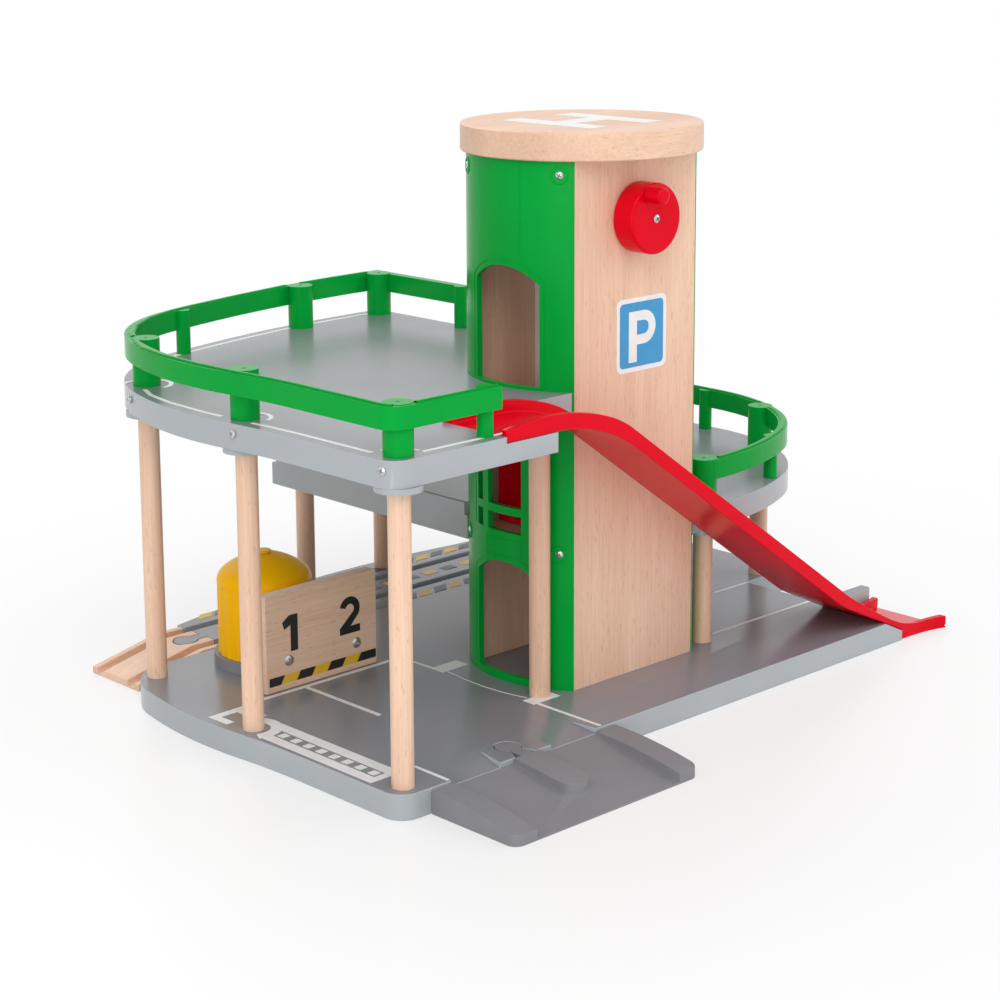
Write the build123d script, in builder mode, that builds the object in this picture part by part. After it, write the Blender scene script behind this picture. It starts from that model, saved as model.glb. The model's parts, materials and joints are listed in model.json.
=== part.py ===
from build123d import *
from math import atan, degrees, sqrt
import os

# Toy parking garage with a crank lift: three wooden decks on dowels, a lift tower with a
# hand crank, fences, a tank, a parking wall and three lift-off ramps.
# Frame: origin on the floor under the tower's centre, +X along the long side, +Z up.

os.makedirs("parts", exist_ok=True)

# ---------------------------------------------------------------- driving dimensions (mm)
BOARD = 12.0                    # every deck board, and the standard track thickness
LEVEL = 72.5                    # from one floor to the next
BASE_TOP = BOARD
MID_UNDER = LEVEL
MID_TOP = MID_UNDER + BOARD
TOP_UNDER = 2 * LEVEL
TOP_TOP = TOP_UNDER + BOARD

DOWEL_R = 5.0                   # the round columns
BORE_PLAY = 0.05                # radial play of a dowel, pin or shaft in its hole
BOSS_R = 10.5                   # round bosses under the decks
BOSS_DROP = 2.8

TOWER_R = 55.3                  # round ends of the tower
TOWER_FLAT = 35.8               # half depth across the two beech panels
TOWER_TOP = 264.5
SHELL_WALL = 3.0
PANEL_THICK = 8.0
PANEL_HALF = 41.5
PANEL_INNER = TOWER_FLAT - PANEL_THICK
ROOF_R = 58.0
ROOF_THICK = 13.2

DOOR_Y = -2.0                   # the doors and the lane sit a little towards the front
DOOR_HALF = 20.0
DOOR_SPRING = 48.3              # from the sill to where the arch springs
DOOR_RISE = 7.9
SILL = 3.5                      # the ground doors' sills above the base
DECK_SILL = 1.5                 # the upper doors' sills above their decks

CABIN_X = 38.0                  # half length of the lift cabin
CABIN_HALF = 19.0               # half width inside
CABIN_WALL = 2.0
CABIN_FLOOR = 3.0
CABIN_TALL = 62.0
CABIN_LOW = BASE_TOP + 0.4      # underside at the ground floor
CABIN_REST = CABIN_LOW + LEVEL  # the lift stands at the middle floor

CRANK_Z = 235.2
IDLER_Z = 28.0
PULLEY_R = 10.0                 # to the middle of the hoist loop
LOOP_THICK = 1.0
LOOP_WIDE = 2.4
PULLEY_Y = -25.5                # middle plane of the hoist
SHAFT_R = 3.0
PIN_R = 2.0
PIN_DEEP = 5.0                  # how far the idler's pin goes into the front panel
RUN_PLAY = 0.3                  # between pieces that pass each other

POST_R = 3.6                    # thin fence posts
SLEEVE_R = 6.6                  # fence sleeves over the columns
RAIL_THICK = 5.0
RAIL_INSET = 0.8

TRACK_Y = 155.7                 # the railway track across the base
TRACK_HALF = 20.0
GROOVE_APART = 13.0             # from the track's middle to the middle of a groove
GROOVE_WIDE = 6.0
GROOVE_DEEP = 3.0
PEG_R = 6.0                     # the track's round peg
PEG_NECK = 6.4
PEG_PLAY = 0.4
PEG_REACH = 11.3                # from the board's end to the peg's middle
TRACK_END = -117.0              # left end of the track on the base

RAMP_NEAR = -76.5               # the red exit ramp's sides
RAMP_FAR = -35.9
RAMP_WALL = 3.0
BEVEL_TOP = 146.7               # where the base slopes down under the exit ramp
BEVEL_END = 161.0
BEVEL_LOW = 5.2
FLARE_NEAR = 4.5                # how far each side opens at the ramp's foot
FLARE_FAR = 3.0
SEAT_Z = TOP_TOP - 3.0          # the exit ramp's seat on the top deck

ENTRY_X = -114.7                # the drive-in ramp's middle
ENTRY_HALF = 57.0
ENTRY_PEG_Y = -65.8

# name: (x, y, top) of every dowel; the first four and the last two carry the top deck
COLUMNS = {
    "column_1": (-171.0, 120.8, TOP_UNDER),
    "column_2": (-182.0, 31.0, TOP_UNDER),
    "column_3": (-179.3, -68.2, TOP_UNDER),
    "column_4": (-57.2, -28.5, TOP_UNDER),
    "column_5": (58.9, -28.2, MID_UNDER),
    "column_6": (170.7, 28.2, MID_UNDER),
    "column_7": (-26.0, 183.0, TOP_UNDER),
    "column_8": (30.0, 183.5, TOP_UNDER),
}
TOP_COLUMNS = [(x, y) for x, y, top in COLUMNS.values() if top == TOP_UNDER]
MID_COLUMNS = [(x, y) for x, y, top in COLUMNS.values() if top == MID_UNDER]
BACK_COLUMNS = [COLUMNS["column_7"][:2], COLUMNS["column_8"][:2]]
FENCED_COLUMNS = [spot for spot in TOP_COLUMNS if spot != COLUMNS["column_4"][:2]]


def save(builder, name):
    """Label a finished piece and write it as one STEP file."""
    builder.part.label = name
    export_step(builder.part, f"parts/{name}.step")


def arch(middle, half, sill, spring, rise):
    """Closed outline of a doorway with a low segmental arch, in the current BuildLine."""
    Polyline(
        (middle + half, spring), (middle + half, sill), (middle - half, sill), (middle - half, spring)
    )
    ThreePointArc((middle - half, spring), (middle, spring + rise), (middle + half, spring))


def boss_plan(spots, radius):
    """Round bosses, cut back where they would meet the tower or the exit ramp."""
    with BuildSketch() as plan:
        with Locations(*spots):
            Circle(radius)
        Circle(TOWER_R + 0.3, mode=Mode.SUBTRACT)
        with Locations((0, RAMP_FAR + 0.4)):
            Rectangle(150, 20, align=(Align.CENTER, Align.MAX), mode=Mode.SUBTRACT)
    return plan.sketch


def slope_plane(x, y, z, run_x, run_y, drop):
    """Plane through (x, y, z) that falls by drop over the run in X or in Y."""
    along = Vector(run_x, run_y, -drop)
    across = Vector(0, 1, 0) if run_x else Vector(1, 0, 0)
    normal = along.cross(across)
    if normal.Z < 0:
        normal = normal * -1
    return Plane(origin=(x, y, z), x_dir=across, z_dir=normal)


# ------------------------------------------------------------------------------ base board
BASE_FRONT = -77.5
BASE_LEFT = -189.0
BASE_RIGHT = 190.0
FINGER_X = 193.0                # tongue of the base between the exit ramp and the lane
LANE_NEAR = -26.3
LANE_FAR = 21.0
LANE_X = 152.5                  # where the lane's slot begins
CORNER_R = 10.0
END_R = 101.0                   # the round right end
TRACK_EDGE = TRACK_Y - TRACK_HALF - 1.0

with BuildPart() as base_board:
    with BuildSketch():
        with BuildLine():
            Polyline(
                (BASE_LEFT + CORNER_R, BASE_FRONT),
                (BEVEL_END, BASE_FRONT),
                (BEVEL_END, RAMP_FAR + 0.7),
                (168, RAMP_FAR + 0.7),
                (FINGER_X, RAMP_FAR + FLARE_FAR + 0.8),
                (FINGER_X, LANE_NEAR),
                (LANE_X, LANE_NEAR),
                (LANE_X, LANE_FAR),
                (BASE_RIGHT, LANE_FAR),
                (BASE_RIGHT, 87),
            )
            RadiusArc((BASE_RIGHT, 87), (BASE_RIGHT - END_R, 188), -END_R)
            ThreePointArc((BASE_RIGHT - END_R, 188), (-10, 193.5), (TRACK_END, 178.5))
            Polyline((TRACK_END, 178.5), (TRACK_END, TRACK_EDGE), (-165, TRACK_EDGE))
            Line((BASE_LEFT, BASE_FRONT + CORNER_R), (BASE_LEFT, -10))
            hollow = TangentArc((BASE_LEFT, -10), (-191.2, 30), tangent=(0, 1))
            bulge = TangentArc((-191.2, 30), (-188, 103), tangent=hollow % 1)
            ThreePointArc((-165, TRACK_EDGE), (-179.5, 123), bulge @ 1)
            RadiusArc(
                (BASE_LEFT, BASE_FRONT + CORNER_R), (BASE_LEFT + CORNER_R, BASE_FRONT), -CORNER_R
            )
        make_face()
    extrude(amount=BASE_TOP)
    # the track's peg, standing out of the left end
    with BuildSketch():
        with Locations((TRACK_END - PEG_REACH, TRACK_Y)):
            Circle(PEG_R)
        with Locations((TRACK_END - PEG_REACH / 2, TRACK_Y)):
            Rectangle(PEG_REACH, PEG_NECK)
    extrude(amount=BASE_TOP)
    # two grooves for wooden trains
    with BuildSketch(Plane.XY.offset(BASE_TOP)):
        with Locations((0, TRACK_Y - GROOVE_APART), (0, TRACK_Y + GROOVE_APART)):
            Rectangle(2 * BASE_RIGHT + 20, GROOVE_WIDE)
        with Locations((TRACK_END - 120, TRACK_Y)):
            Rectangle(240, 3 * TRACK_HALF, mode=Mode.SUBTRACT)
    extrude(amount=-GROOVE_DEEP, mode=Mode.SUBTRACT)
    # bevel under the foot of the exit ramp
    with BuildSketch(
        slope_plane(BEVEL_TOP, (BASE_FRONT + RAMP_FAR) / 2, BASE_TOP, BEVEL_END - BEVEL_TOP, 0,
                    BASE_TOP - BEVEL_LOW)
    ):
        with Locations((0, 20), (0, -20)):
            Rectangle(RAMP_FAR - BASE_FRONT + 1.4, 40)
    extrude(amount=BOARD, mode=Mode.SUBTRACT)
    # the drive-in ramp's socket and the two shallow falls beside it
    with BuildSketch():
        with Locations((ENTRY_X, ENTRY_PEG_Y)):
            Circle(PEG_R + PEG_PLAY)
        with BuildLine():
            Polyline(
                (ENTRY_X - 3.6, ENTRY_PEG_Y),
                (ENTRY_X - 3.6, -72),
                (ENTRY_X - 6.5, BASE_FRONT),
                (ENTRY_X + 6.5, BASE_FRONT),
                (ENTRY_X + 3.6, -72),
                (ENTRY_X + 3.6, ENTRY_PEG_Y),
                close=True,
            )
        make_face()
    extrude(amount=BOARD, mode=Mode.SUBTRACT)
    for side in (-1, 1):
        with BuildSketch(slope_plane(ENTRY_X, -58.5, BASE_TOP, 0, -19, 2.4)) as fall:
            with BuildLine():
                Polyline(
                    (side * 12.5, 0),
                    (side * 17, -25),
                    (side * 46, -25),
                    (side * 42, 0),
                    close=True,
                )
            make_face()
        extrude(amount=BOARD, mode=Mode.SUBTRACT)
save(base_board, "base_board")

# the lane's run-out wedge beside the slot
with BuildPart() as lane_wedge:
    with BuildSketch(Plane.XZ.offset(-LANE_FAR + 0.1)):
        with BuildLine():
            Polyline((LANE_X + 0.1, 0), (LANE_X + 0.1, 11.4), (LANE_X + 20, 1.5), (LANE_X + 20, 0), close=True)
        make_face()
    extrude(amount=18)
save(lane_wedge, "lane_wedge")

# --------------------------------------------------------------------------------- columns
# each stands on the base and carries a boss of its deck, held by a screw through the board
for name, (x, y, top) in COLUMNS.items():
    with BuildPart() as column:
        with BuildSketch(Plane.XY.offset(BASE_TOP)):
            with Locations((x, y)):
                Circle(DOWEL_R)
        extrude(amount=top - BOSS_DROP - BASE_TOP)
    save(column, name)

# -------------------------------------------------------------------------------- top deck
DECK_LEFT = -190.5
DECK_FRONT = -77.0
DECK_STEP_X = -94.0             # right end of the deck's front arm
DECK_STEP_Y = -35.3
DECK_RIGHT = 38.0
DECK_BACK = 193.5
SEAT_X = -125.0                 # left end of the exit ramp's seat


def deck_edge():
    """Outer edge of the top deck, from its front step round the left side to the back."""
    Line((DECK_STEP_X, DECK_FRONT), (DECK_LEFT + CORNER_R, DECK_FRONT))
    RadiusArc((DECK_LEFT + CORNER_R, DECK_FRONT), (DECK_LEFT, DECK_FRONT + CORNER_R), CORNER_R)
    Line((DECK_LEFT, DECK_FRONT + CORNER_R), (DECK_LEFT, -10))
    hollow = TangentArc((DECK_LEFT, -10), (-193, 30), tangent=(0, 1))
    bulge = TangentArc((-193, 30), (-184, 115), tangent=hollow % 1)
    corner = TangentArc((-184, 115), (-113, 175.8), tangent=bulge % 1)
    ThreePointArc(corner @ 1, (-34, 191), (DECK_RIGHT, DECK_BACK))


with BuildPart() as top_deck:
    with BuildSketch(Plane.XY.offset(TOP_UNDER)):
        with BuildLine():
            deck_edge()
            Polyline(
                (DECK_RIGHT, DECK_BACK),
                (DECK_RIGHT, DECK_STEP_Y),
                (DECK_STEP_X, DECK_STEP_Y),
                (DECK_STEP_X, DECK_FRONT),
            )
        make_face()
        with BuildLine():
            tower_x = sqrt((TOWER_R + 0.1) ** 2 - (TOWER_FLAT + 0.1) ** 2)
            Line((-tower_x, -TOWER_FLAT - 0.1), (DECK_RIGHT + 1, -TOWER_FLAT - 0.1))
            Line((DECK_RIGHT + 1, -TOWER_FLAT - 0.1), (DECK_RIGHT + 1, TOWER_FLAT + 0.1))
            Line((DECK_RIGHT + 1, TOWER_FLAT + 0.1), (-tower_x, TOWER_FLAT + 0.1))
            ThreePointArc(
                (-tower_x, TOWER_FLAT + 0.1), (-TOWER_R - 0.1, 0), (-tower_x, -TOWER_FLAT - 0.1)
            )
        make_face(mode=Mode.SUBTRACT)
    extrude(amount=BOARD)
    with BuildSketch(Plane.XY.offset(TOP_UNDER)):
        add(boss_plan(TOP_COLUMNS[:4], BOSS_R))
        add(boss_plan(BACK_COLUMNS, BOSS_R - 2.5))
    extrude(amount=-BOSS_DROP)
    # seat of the exit ramp
    with BuildSketch(Plane.XY.offset(SEAT_Z)):
        with Locations(((SEAT_X + DECK_STEP_X) / 2, (DECK_FRONT + DECK_STEP_Y) / 2 - 3)):
            Rectangle(DECK_STEP_X - SEAT_X + 0.6, DECK_STEP_Y - DECK_FRONT + 6)
    extrude(amount=BOARD, mode=Mode.SUBTRACT)
save(top_deck, "top_deck")

# -------------------------------------------------------------------------------- mid deck
MID_LEFT = -43.0
MID_END_R = 102.0
MID_MIDDLE = (85.0, 70.0)       # centre of the round front right corner
MID_RIGHT = MID_MIDDLE[0] + MID_END_R
MID_BACK = 191.0
LIP_TALL = 6.5
LIP_WIDE = 3.0


def mid_edge():
    """Outer edge of the mid deck, from the tower's front corner round to the back."""
    joint = (MID_MIDDLE[0] + MID_END_R / 2, MID_MIDDLE[1] - MID_END_R * sqrt(0.75))
    Line((PANEL_HALF, -TOWER_FLAT), (62, -TOWER_FLAT))
    TangentArc((62, -TOWER_FLAT), joint, tangent=(1, 0))
    RadiusArc(joint, (MID_RIGHT, MID_MIDDLE[1]), -MID_END_R)
    Line((MID_RIGHT, MID_MIDDLE[1]), (MID_RIGHT, 87))
    RadiusArc((MID_RIGHT, 87), (MID_MIDDLE[0], 189), -MID_END_R)
    ThreePointArc((MID_MIDDLE[0], 189), (20, MID_BACK + 1.5), (MID_LEFT, MID_BACK - 1.5))


with BuildPart() as mid_deck:
    with BuildSketch(Plane.XY.offset(MID_UNDER)):
        with BuildLine():
            mid_edge()
            Polyline(
                (MID_LEFT, MID_BACK - 1.5),
                (MID_LEFT, TOWER_FLAT + 0.1),
                (0, TOWER_FLAT + 0.1),
                (0, -TOWER_FLAT),
                (PANEL_HALF, -TOWER_FLAT),
            )
        make_face()
        with BuildLine():
            Line((0, TOWER_FLAT + 0.1), (0, -TOWER_FLAT - 1))
            Line((0, -TOWER_FLAT - 1), (tower_x, -TOWER_FLAT - 1))
            Line((tower_x, -TOWER_FLAT - 1), (tower_x, -TOWER_FLAT - 0.1))
            ThreePointArc(
                (tower_x, -TOWER_FLAT - 0.1), (TOWER_R + 0.1, 0), (tower_x, TOWER_FLAT + 0.1)
            )
            Line((tower_x, TOWER_FLAT + 0.1), (0, TOWER_FLAT + 0.1))
        make_face(mode=Mode.SUBTRACT)
    extrude(amount=BOARD)
    # guard lip along the left edge
    with BuildSketch(Plane.XY.offset(MID_TOP)):
        with Locations((MID_LEFT + LIP_WIDE / 2, 112)):
            Rectangle(LIP_WIDE, 148)
    extrude(amount=LIP_TALL)
    fillet(mid_deck.edges().filter_by(Axis.Y).group_by(Axis.Z)[-1], 1.0)
    with BuildSketch(Plane.XY.offset(MID_UNDER)):
        add(boss_plan(MID_COLUMNS, BOSS_R))
    extrude(amount=-BOSS_DROP)
    # the two back columns pass through to the top deck
    with BuildSketch(Plane.XY.offset(MID_UNDER)):
        with Locations(*BACK_COLUMNS):
            Circle(DOWEL_R + BORE_PLAY)
    extrude(amount=BOARD, mode=Mode.SUBTRACT)
save(mid_deck, "mid_deck")

# ---------------------------------------------------------------------------------- fences
SLEEVE_TALL = 22.8
RAIL_LOW = 12.5                 # rail above its deck
RAIL_HIGH = 22.5
FENCE_END_X = -127.0            # the top fence's end at the exit ramp
FENCE_END_Y = 119.0             # its other end, beside the tower

with BuildPart() as top_fence:
    with BuildSketch(Plane.XY.offset(TOP_TOP)):
        with Locations(*FENCED_COLUMNS):
            Circle(SLEEVE_R)
    extrude(amount=SLEEVE_TALL)
    with BuildSketch(Plane.XY.offset(TOP_TOP + RAIL_LOW)):
        with BuildLine():
            deck_edge()
            Polyline((DECK_RIGHT, DECK_BACK), (DECK_RIGHT, DECK_FRONT), (DECK_STEP_X, DECK_FRONT))
        make_face()
        offset(amount=-RAIL_INSET, mode=Mode.REPLACE)
        offset(amount=-RAIL_THICK, mode=Mode.SUBTRACT)
        with Locations((FENCE_END_X, FENCE_END_Y)):
            Rectangle(300, 300, align=(Align.MIN, Align.MAX), mode=Mode.SUBTRACT)
    extrude(amount=RAIL_HIGH - RAIL_LOW)
    with BuildSketch(Plane.XY.offset(TOP_TOP)):
        with Locations((-131, -69.5), (-113.5, 169.5), (DECK_RIGHT - 4.6, FENCE_END_Y + 2)):
            Circle(POST_R)
    extrude(amount=RAIL_HIGH)
save(top_fence, "top_fence")

with BuildPart() as mid_fence:
    with BuildSketch(Plane.XY.offset(MID_TOP)):
        with Locations(*MID_COLUMNS, COLUMNS["column_8"][:2]):
            Circle(SLEEVE_R)
    extrude(amount=SLEEVE_TALL)
    with BuildSketch(Plane.XY.offset(MID_TOP + RAIL_LOW)):
        with BuildLine():
            mid_edge()
            Polyline(
                (MID_LEFT, MID_BACK - 1.5), (MID_LEFT, -TOWER_FLAT), (PANEL_HALF, -TOWER_FLAT)
            )
        make_face()
        offset(amount=-RAIL_INSET, mode=Mode.REPLACE)
        offset(amount=-RAIL_THICK, mode=Mode.SUBTRACT)
        with Locations((COLUMNS["column_8"][0], 150)):
            Rectangle(200, 300, align=(Align.MAX, Align.CENTER), mode=Mode.SUBTRACT)
        with Locations((COLUMNS["column_5"][0], 0)):
            Rectangle(200, 200, align=(Align.MAX, Align.CENTER), mode=Mode.SUBTRACT)
    extrude(amount=RAIL_HIGH - RAIL_LOW)
    with BuildSketch(Plane.XY.offset(MID_TOP)):
        with Locations((121, -20), (181.5, 77), (95, 181.5)):
            Circle(POST_R)
    extrude(amount=RAIL_HIGH)
    with BuildSketch(Plane.XY.offset(MID_TOP)):
        with Locations(COLUMNS["column_8"][:2]):
            Circle(DOWEL_R + BORE_PLAY)
    extrude(amount=SLEEVE_TALL, mode=Mode.SUBTRACT)
save(mid_fence, "mid_fence")

# ----------------------------------------------------------------------------------- tower
TOWER_TALL = TOWER_TOP - BASE_TOP

with BuildPart() as tower_front_panel:
    with BuildSketch(Plane.XZ.offset(PANEL_INNER)):
        with Locations((0, BASE_TOP)):
            Rectangle(2 * PANEL_HALF, TOWER_TALL, align=(Align.CENTER, Align.MIN))
        with Locations((0, CRANK_Z)):
            Circle(SHAFT_R + BORE_PLAY, mode=Mode.SUBTRACT)
    extrude(amount=PANEL_THICK)
    with BuildSketch(Plane.XZ.offset(PANEL_INNER)):
        with Locations((0, IDLER_Z)):
            Circle(PIN_R + BORE_PLAY)
    extrude(amount=PIN_DEEP, mode=Mode.SUBTRACT)
save(tower_front_panel, "tower_front_panel")

with BuildPart() as tower_back_panel:
    with BuildSketch(Plane.XZ.offset(-TOWER_FLAT)):
        with Locations((0, BASE_TOP)):
            Rectangle(2 * PANEL_HALF, TOWER_TALL, align=(Align.CENTER, Align.MIN))
    extrude(amount=PANEL_THICK)
save(tower_back_panel, "tower_back_panel")

POST_Y = PANEL_INNER - 2.0      # the shells' corner posts reach this far in behind the panels
WINDOW_HALF = 10.75             # middle window between the two bars
BAR_WIDE = 4.6
WINDOW_SILL = 1.8               # above the floor level
CROSS_BAR = (10.4, 14.4)        # lower and upper edge of the cross-bar above the floor


def round_ended(radius, half_y):
    """Disc cut off by two flats, the plan of everything in the tower."""
    with BuildSketch() as plan:
        Circle(radius)
        Rectangle(3 * radius, 2 * half_y, mode=Mode.INTERSECT)
    return plan.sketch


def shell_plan(side):
    """Plan of one moulded shell with its two solid corner posts."""
    with BuildSketch() as plan:
        add(round_ended(TOWER_R, TOWER_FLAT))
        Rectangle(2 * PANEL_HALF + 0.1, 2 * TOWER_FLAT + 1, mode=Mode.SUBTRACT)
        add(round_ended(TOWER_R - SHELL_WALL, POST_Y), mode=Mode.SUBTRACT)
        with Locations((-side * TOWER_R, 0)):
            Rectangle(2 * TOWER_R, 3 * TOWER_R, mode=Mode.SUBTRACT)
    return plan.sketch


def doorway(sill):
    """Arched doorway standing on a sill at that height."""
    with BuildSketch() as opening:
        with BuildLine():
            arch(DOOR_Y, DOOR_HALF, sill, sill + DOOR_SPRING, DOOR_RISE)
        make_face()
    return opening.sketch


def barred_window(floor):
    """Arched window with two upright bars and a cross-bar."""
    bar_y = WINDOW_HALF + BAR_WIDE / 2
    with BuildSketch() as opening:
        with BuildLine():
            arch(DOOR_Y, DOOR_HALF, floor + WINDOW_SILL, floor + DOOR_SPRING, DOOR_RISE)
        make_face()
        with Locations((DOOR_Y - bar_y, floor + LEVEL / 2), (DOOR_Y + bar_y, floor + LEVEL / 2)):
            Rectangle(BAR_WIDE, LEVEL, mode=Mode.SUBTRACT)
        with Locations((DOOR_Y, floor + sum(CROSS_BAR) / 2)):
            Rectangle(3 * DOOR_HALF, CROSS_BAR[1] - CROSS_BAR[0], mode=Mode.SUBTRACT)
    return opening.sketch


with BuildPart() as tower_left_shell:
    with BuildSketch(Plane.XY.offset(BASE_TOP)):
        add(shell_plan(-1))
    extrude(amount=TOWER_TALL)
    with BuildSketch(Plane.YZ.offset(-TOWER_R - 1)):
        add(doorway(BASE_TOP + SILL))
        add(doorway(TOP_TOP + DECK_SILL))
        add(barred_window(MID_TOP))
    extrude(amount=TOWER_R - PANEL_HALF, mode=Mode.SUBTRACT)
save(tower_left_shell, "tower_left_shell")

with BuildPart() as tower_right_shell:
    with BuildSketch(Plane.XY.offset(BASE_TOP)):
        add(shell_plan(1))
    extrude(amount=TOWER_TALL)
    with BuildSketch(Plane.YZ.offset(TOWER_R + 1)):
        add(doorway(BASE_TOP + SILL))
        add(doorway(MID_TOP + DECK_SILL))
        add(barred_window(TOP_TOP))
    extrude(amount=PANEL_HALF - TOWER_R, mode=Mode.SUBTRACT)
save(tower_right_shell, "tower_right_shell")


def inner_board(clearance):
    """Plan of a board that fits inside the tower."""
    with BuildSketch() as plan:
        add(round_ended(TOWER_R - SHELL_WALL - clearance, POST_Y - clearance))
        Rectangle(2 * (PANEL_HALF - clearance), 2 * PANEL_INNER)
    return plan.sketch


# the two landings stand on each side of the lift, at the middle floor
for side, name in ((-1, "left_landing"), (1, "right_landing")):
    with BuildPart() as landing:
        with BuildSketch(Plane.XY.offset(MID_UNDER)):
            add(inner_board(0.1))
            with Locations((side * (CABIN_X + 0.8), 0)):
                Rectangle(
                    3 * TOWER_R,
                    3 * TOWER_R,
                    align=(Align.MAX if side > 0 else Align.MIN, Align.CENTER),
                    mode=Mode.SUBTRACT,
                )
        extrude(amount=BOARD)
    save(landing, name)

with BuildPart() as tower_head_board:
    with BuildSketch(Plane.XY.offset(TOWER_TOP - BOARD)):
        add(inner_board(0.1))
    extrude(amount=BOARD)
save(tower_head_board, "tower_head_board")

with BuildPart() as roof_disc:
    with BuildSketch(Plane.XY.offset(TOWER_TOP)):
        Circle(ROOF_R)
    extrude(amount=ROOF_THICK)
save(roof_disc, "roof_disc")

# ------------------------------------------------------------------------- crank and hoist
KNOB_R = 16.8
KNOB_FRONT = -48.6
KNOB_BACK = -TOWER_FLAT - RUN_PLAY
HANDLE_R = 4.1
HANDLE_TIP = -58.6
HANDLE_X = -5.6
HANDLE_UP = 12.0
PULLEY_WIDE = 4.0
PULLEY_HUB = PULLEY_R - LOOP_THICK / 2 - RUN_PLAY
PULLEY_SIDES = 24               # flats that grip the hoist loop

with BuildPart() as crank_knob:
    with BuildSketch(Plane.XZ.offset(-KNOB_BACK)):
        with Locations((0, CRANK_Z)):
            Circle(KNOB_R)
    extrude(amount=KNOB_BACK - KNOB_FRONT)
save(crank_knob, "crank_knob")

with BuildPart() as crank_handle:
    with BuildSketch(Plane.XZ.offset(-KNOB_FRONT)):
        with Locations((HANDLE_X, CRANK_Z + HANDLE_UP)):
            Circle(HANDLE_R)
    extrude(amount=KNOB_FRONT - HANDLE_TIP)
save(crank_handle, "crank_handle")

with BuildPart() as crank_shaft:
    with BuildSketch(Plane.XZ.offset(-PULLEY_Y - PULLEY_WIDE / 2)):
        with Locations((0, CRANK_Z)):
            Circle(SHAFT_R)
    extrude(amount=PULLEY_Y + PULLEY_WIDE / 2 - KNOB_BACK)
save(crank_shaft, "crank_shaft")


def pulley(middle_z, bore):
    """Many-sided pulley at a height, with its bore."""
    with BuildPart() as disc:
        with BuildSketch(Plane.XZ.offset(-PULLEY_Y - PULLEY_WIDE / 2)):
            with Locations((0, middle_z)):
                RegularPolygon(PULLEY_HUB, PULLEY_SIDES)
                Circle(bore + BORE_PLAY, mode=Mode.SUBTRACT)
        extrude(amount=PULLEY_WIDE)
    return disc


save(pulley(CRANK_Z, SHAFT_R), "drive_pulley")
save(pulley(IDLER_Z, PIN_R), "idler_pulley")

with BuildPart() as idler_pin:
    with BuildSketch(Plane.XZ.offset(-PULLEY_Y - PULLEY_WIDE / 2)):
        with Locations((0, IDLER_Z)):
            Circle(PIN_R)
    extrude(amount=PANEL_INNER + PIN_DEEP + PULLEY_Y + PULLEY_WIDE / 2)
save(idler_pin, "idler_pin")

with BuildPart() as hoist_loop:
    with BuildSketch(Plane.XZ.offset(-PULLEY_Y - LOOP_WIDE / 2)):
        with Locations((0, (CRANK_Z + IDLER_Z) / 2)):
            SlotCenterToCenter(CRANK_Z - IDLER_Z, 2 * PULLEY_R + LOOP_THICK, rotation=90)
            SlotCenterToCenter(
                CRANK_Z - IDLER_Z, 2 * PULLEY_R - LOOP_THICK, rotation=90, mode=Mode.SUBTRACT
            )
    extrude(amount=LOOP_WIDE)
save(hoist_loop, "hoist_loop")

# ---------------------------------------------------------------------- lift cabin and guide
GUIDE_HALF = 4.0
GUIDE_PLAY = 0.4
CABIN_BACK = DOOR_Y + CABIN_HALF + CABIN_WALL
CABIN_FRONT = DOOR_Y - CABIN_HALF - CABIN_WALL
CABIN_SPRING = CABIN_REST + CABIN_TALL - DOOR_RISE
CLIP_Z = 131.0

with BuildPart() as lift_cabin:
    with BuildSketch(Plane.YZ.offset(-CABIN_X)):
        with BuildLine():
            arch(DOOR_Y, CABIN_HALF + CABIN_WALL, CABIN_REST, CABIN_SPRING, DOOR_RISE)
        make_face()
        with BuildLine():
            arch(DOOR_Y, CABIN_HALF, CABIN_REST + CABIN_FLOOR, CABIN_SPRING - 1, DOOR_RISE - 1.5)
        make_face(mode=Mode.SUBTRACT)
    extrude(amount=2 * CABIN_X)
    # channel on the back wall that runs on the guide
    with BuildSketch(Plane.XY.offset(CABIN_REST)):
        for side in (-1, 1):
            with Locations((side * (GUIDE_HALF + GUIDE_PLAY + 1.5), CABIN_BACK)):
                Rectangle(3, PANEL_INNER - CABIN_BACK - 1.0, align=(Align.CENTER, Align.MIN))
    extrude(amount=CABIN_TALL - DOOR_RISE)
save(lift_cabin, "lift_cabin")

with BuildPart() as lift_guide:
    with BuildSketch(Plane.XY.offset(BASE_TOP)):
        with Locations((0, PANEL_INNER)):
            Rectangle(
                2 * GUIDE_HALF, PANEL_INNER - CABIN_BACK - GUIDE_PLAY, align=(Align.CENTER, Align.MAX)
            )
    extrude(amount=TOWER_TALL - BOARD)
save(lift_guide, "lift_guide")

# the cabin's clip straddles the left run of the hoist loop
with BuildPart() as cabin_clip:
    with BuildSketch(Plane.XY.offset(CLIP_Z - 6)):
        with Locations((-PULLEY_R, CABIN_FRONT)):
            Rectangle(8, CABIN_FRONT + PANEL_INNER - 1.0, align=(Align.CENTER, Align.MAX))
        with Locations((-PULLEY_R, PULLEY_Y)):
            Rectangle(
                LOOP_THICK + 2 * RUN_PLAY, LOOP_WIDE + 2 * RUN_PLAY, mode=Mode.SUBTRACT
            )
    extrude(amount=12)
save(cabin_clip, "cabin_clip")

# ------------------------------------------------------------------------------- exit ramp
RAMP_FALL = 0.708               # slope of its straight stretch
RAMP_LINE = 107.7               # height of its underside at x = 0
RAMP_FLOOR = 2.0
RAMP_END = 194.5
HOOK_X = BEVEL_END + RUN_PLAY   # the foot hooks down behind the base's bevel
HOOK_Z = BEVEL_LOW + RUN_PLAY
TOP_BEND = (SEAT_Z - RAMP_LINE) / -RAMP_FALL
LOW_BEND = 111.7


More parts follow.
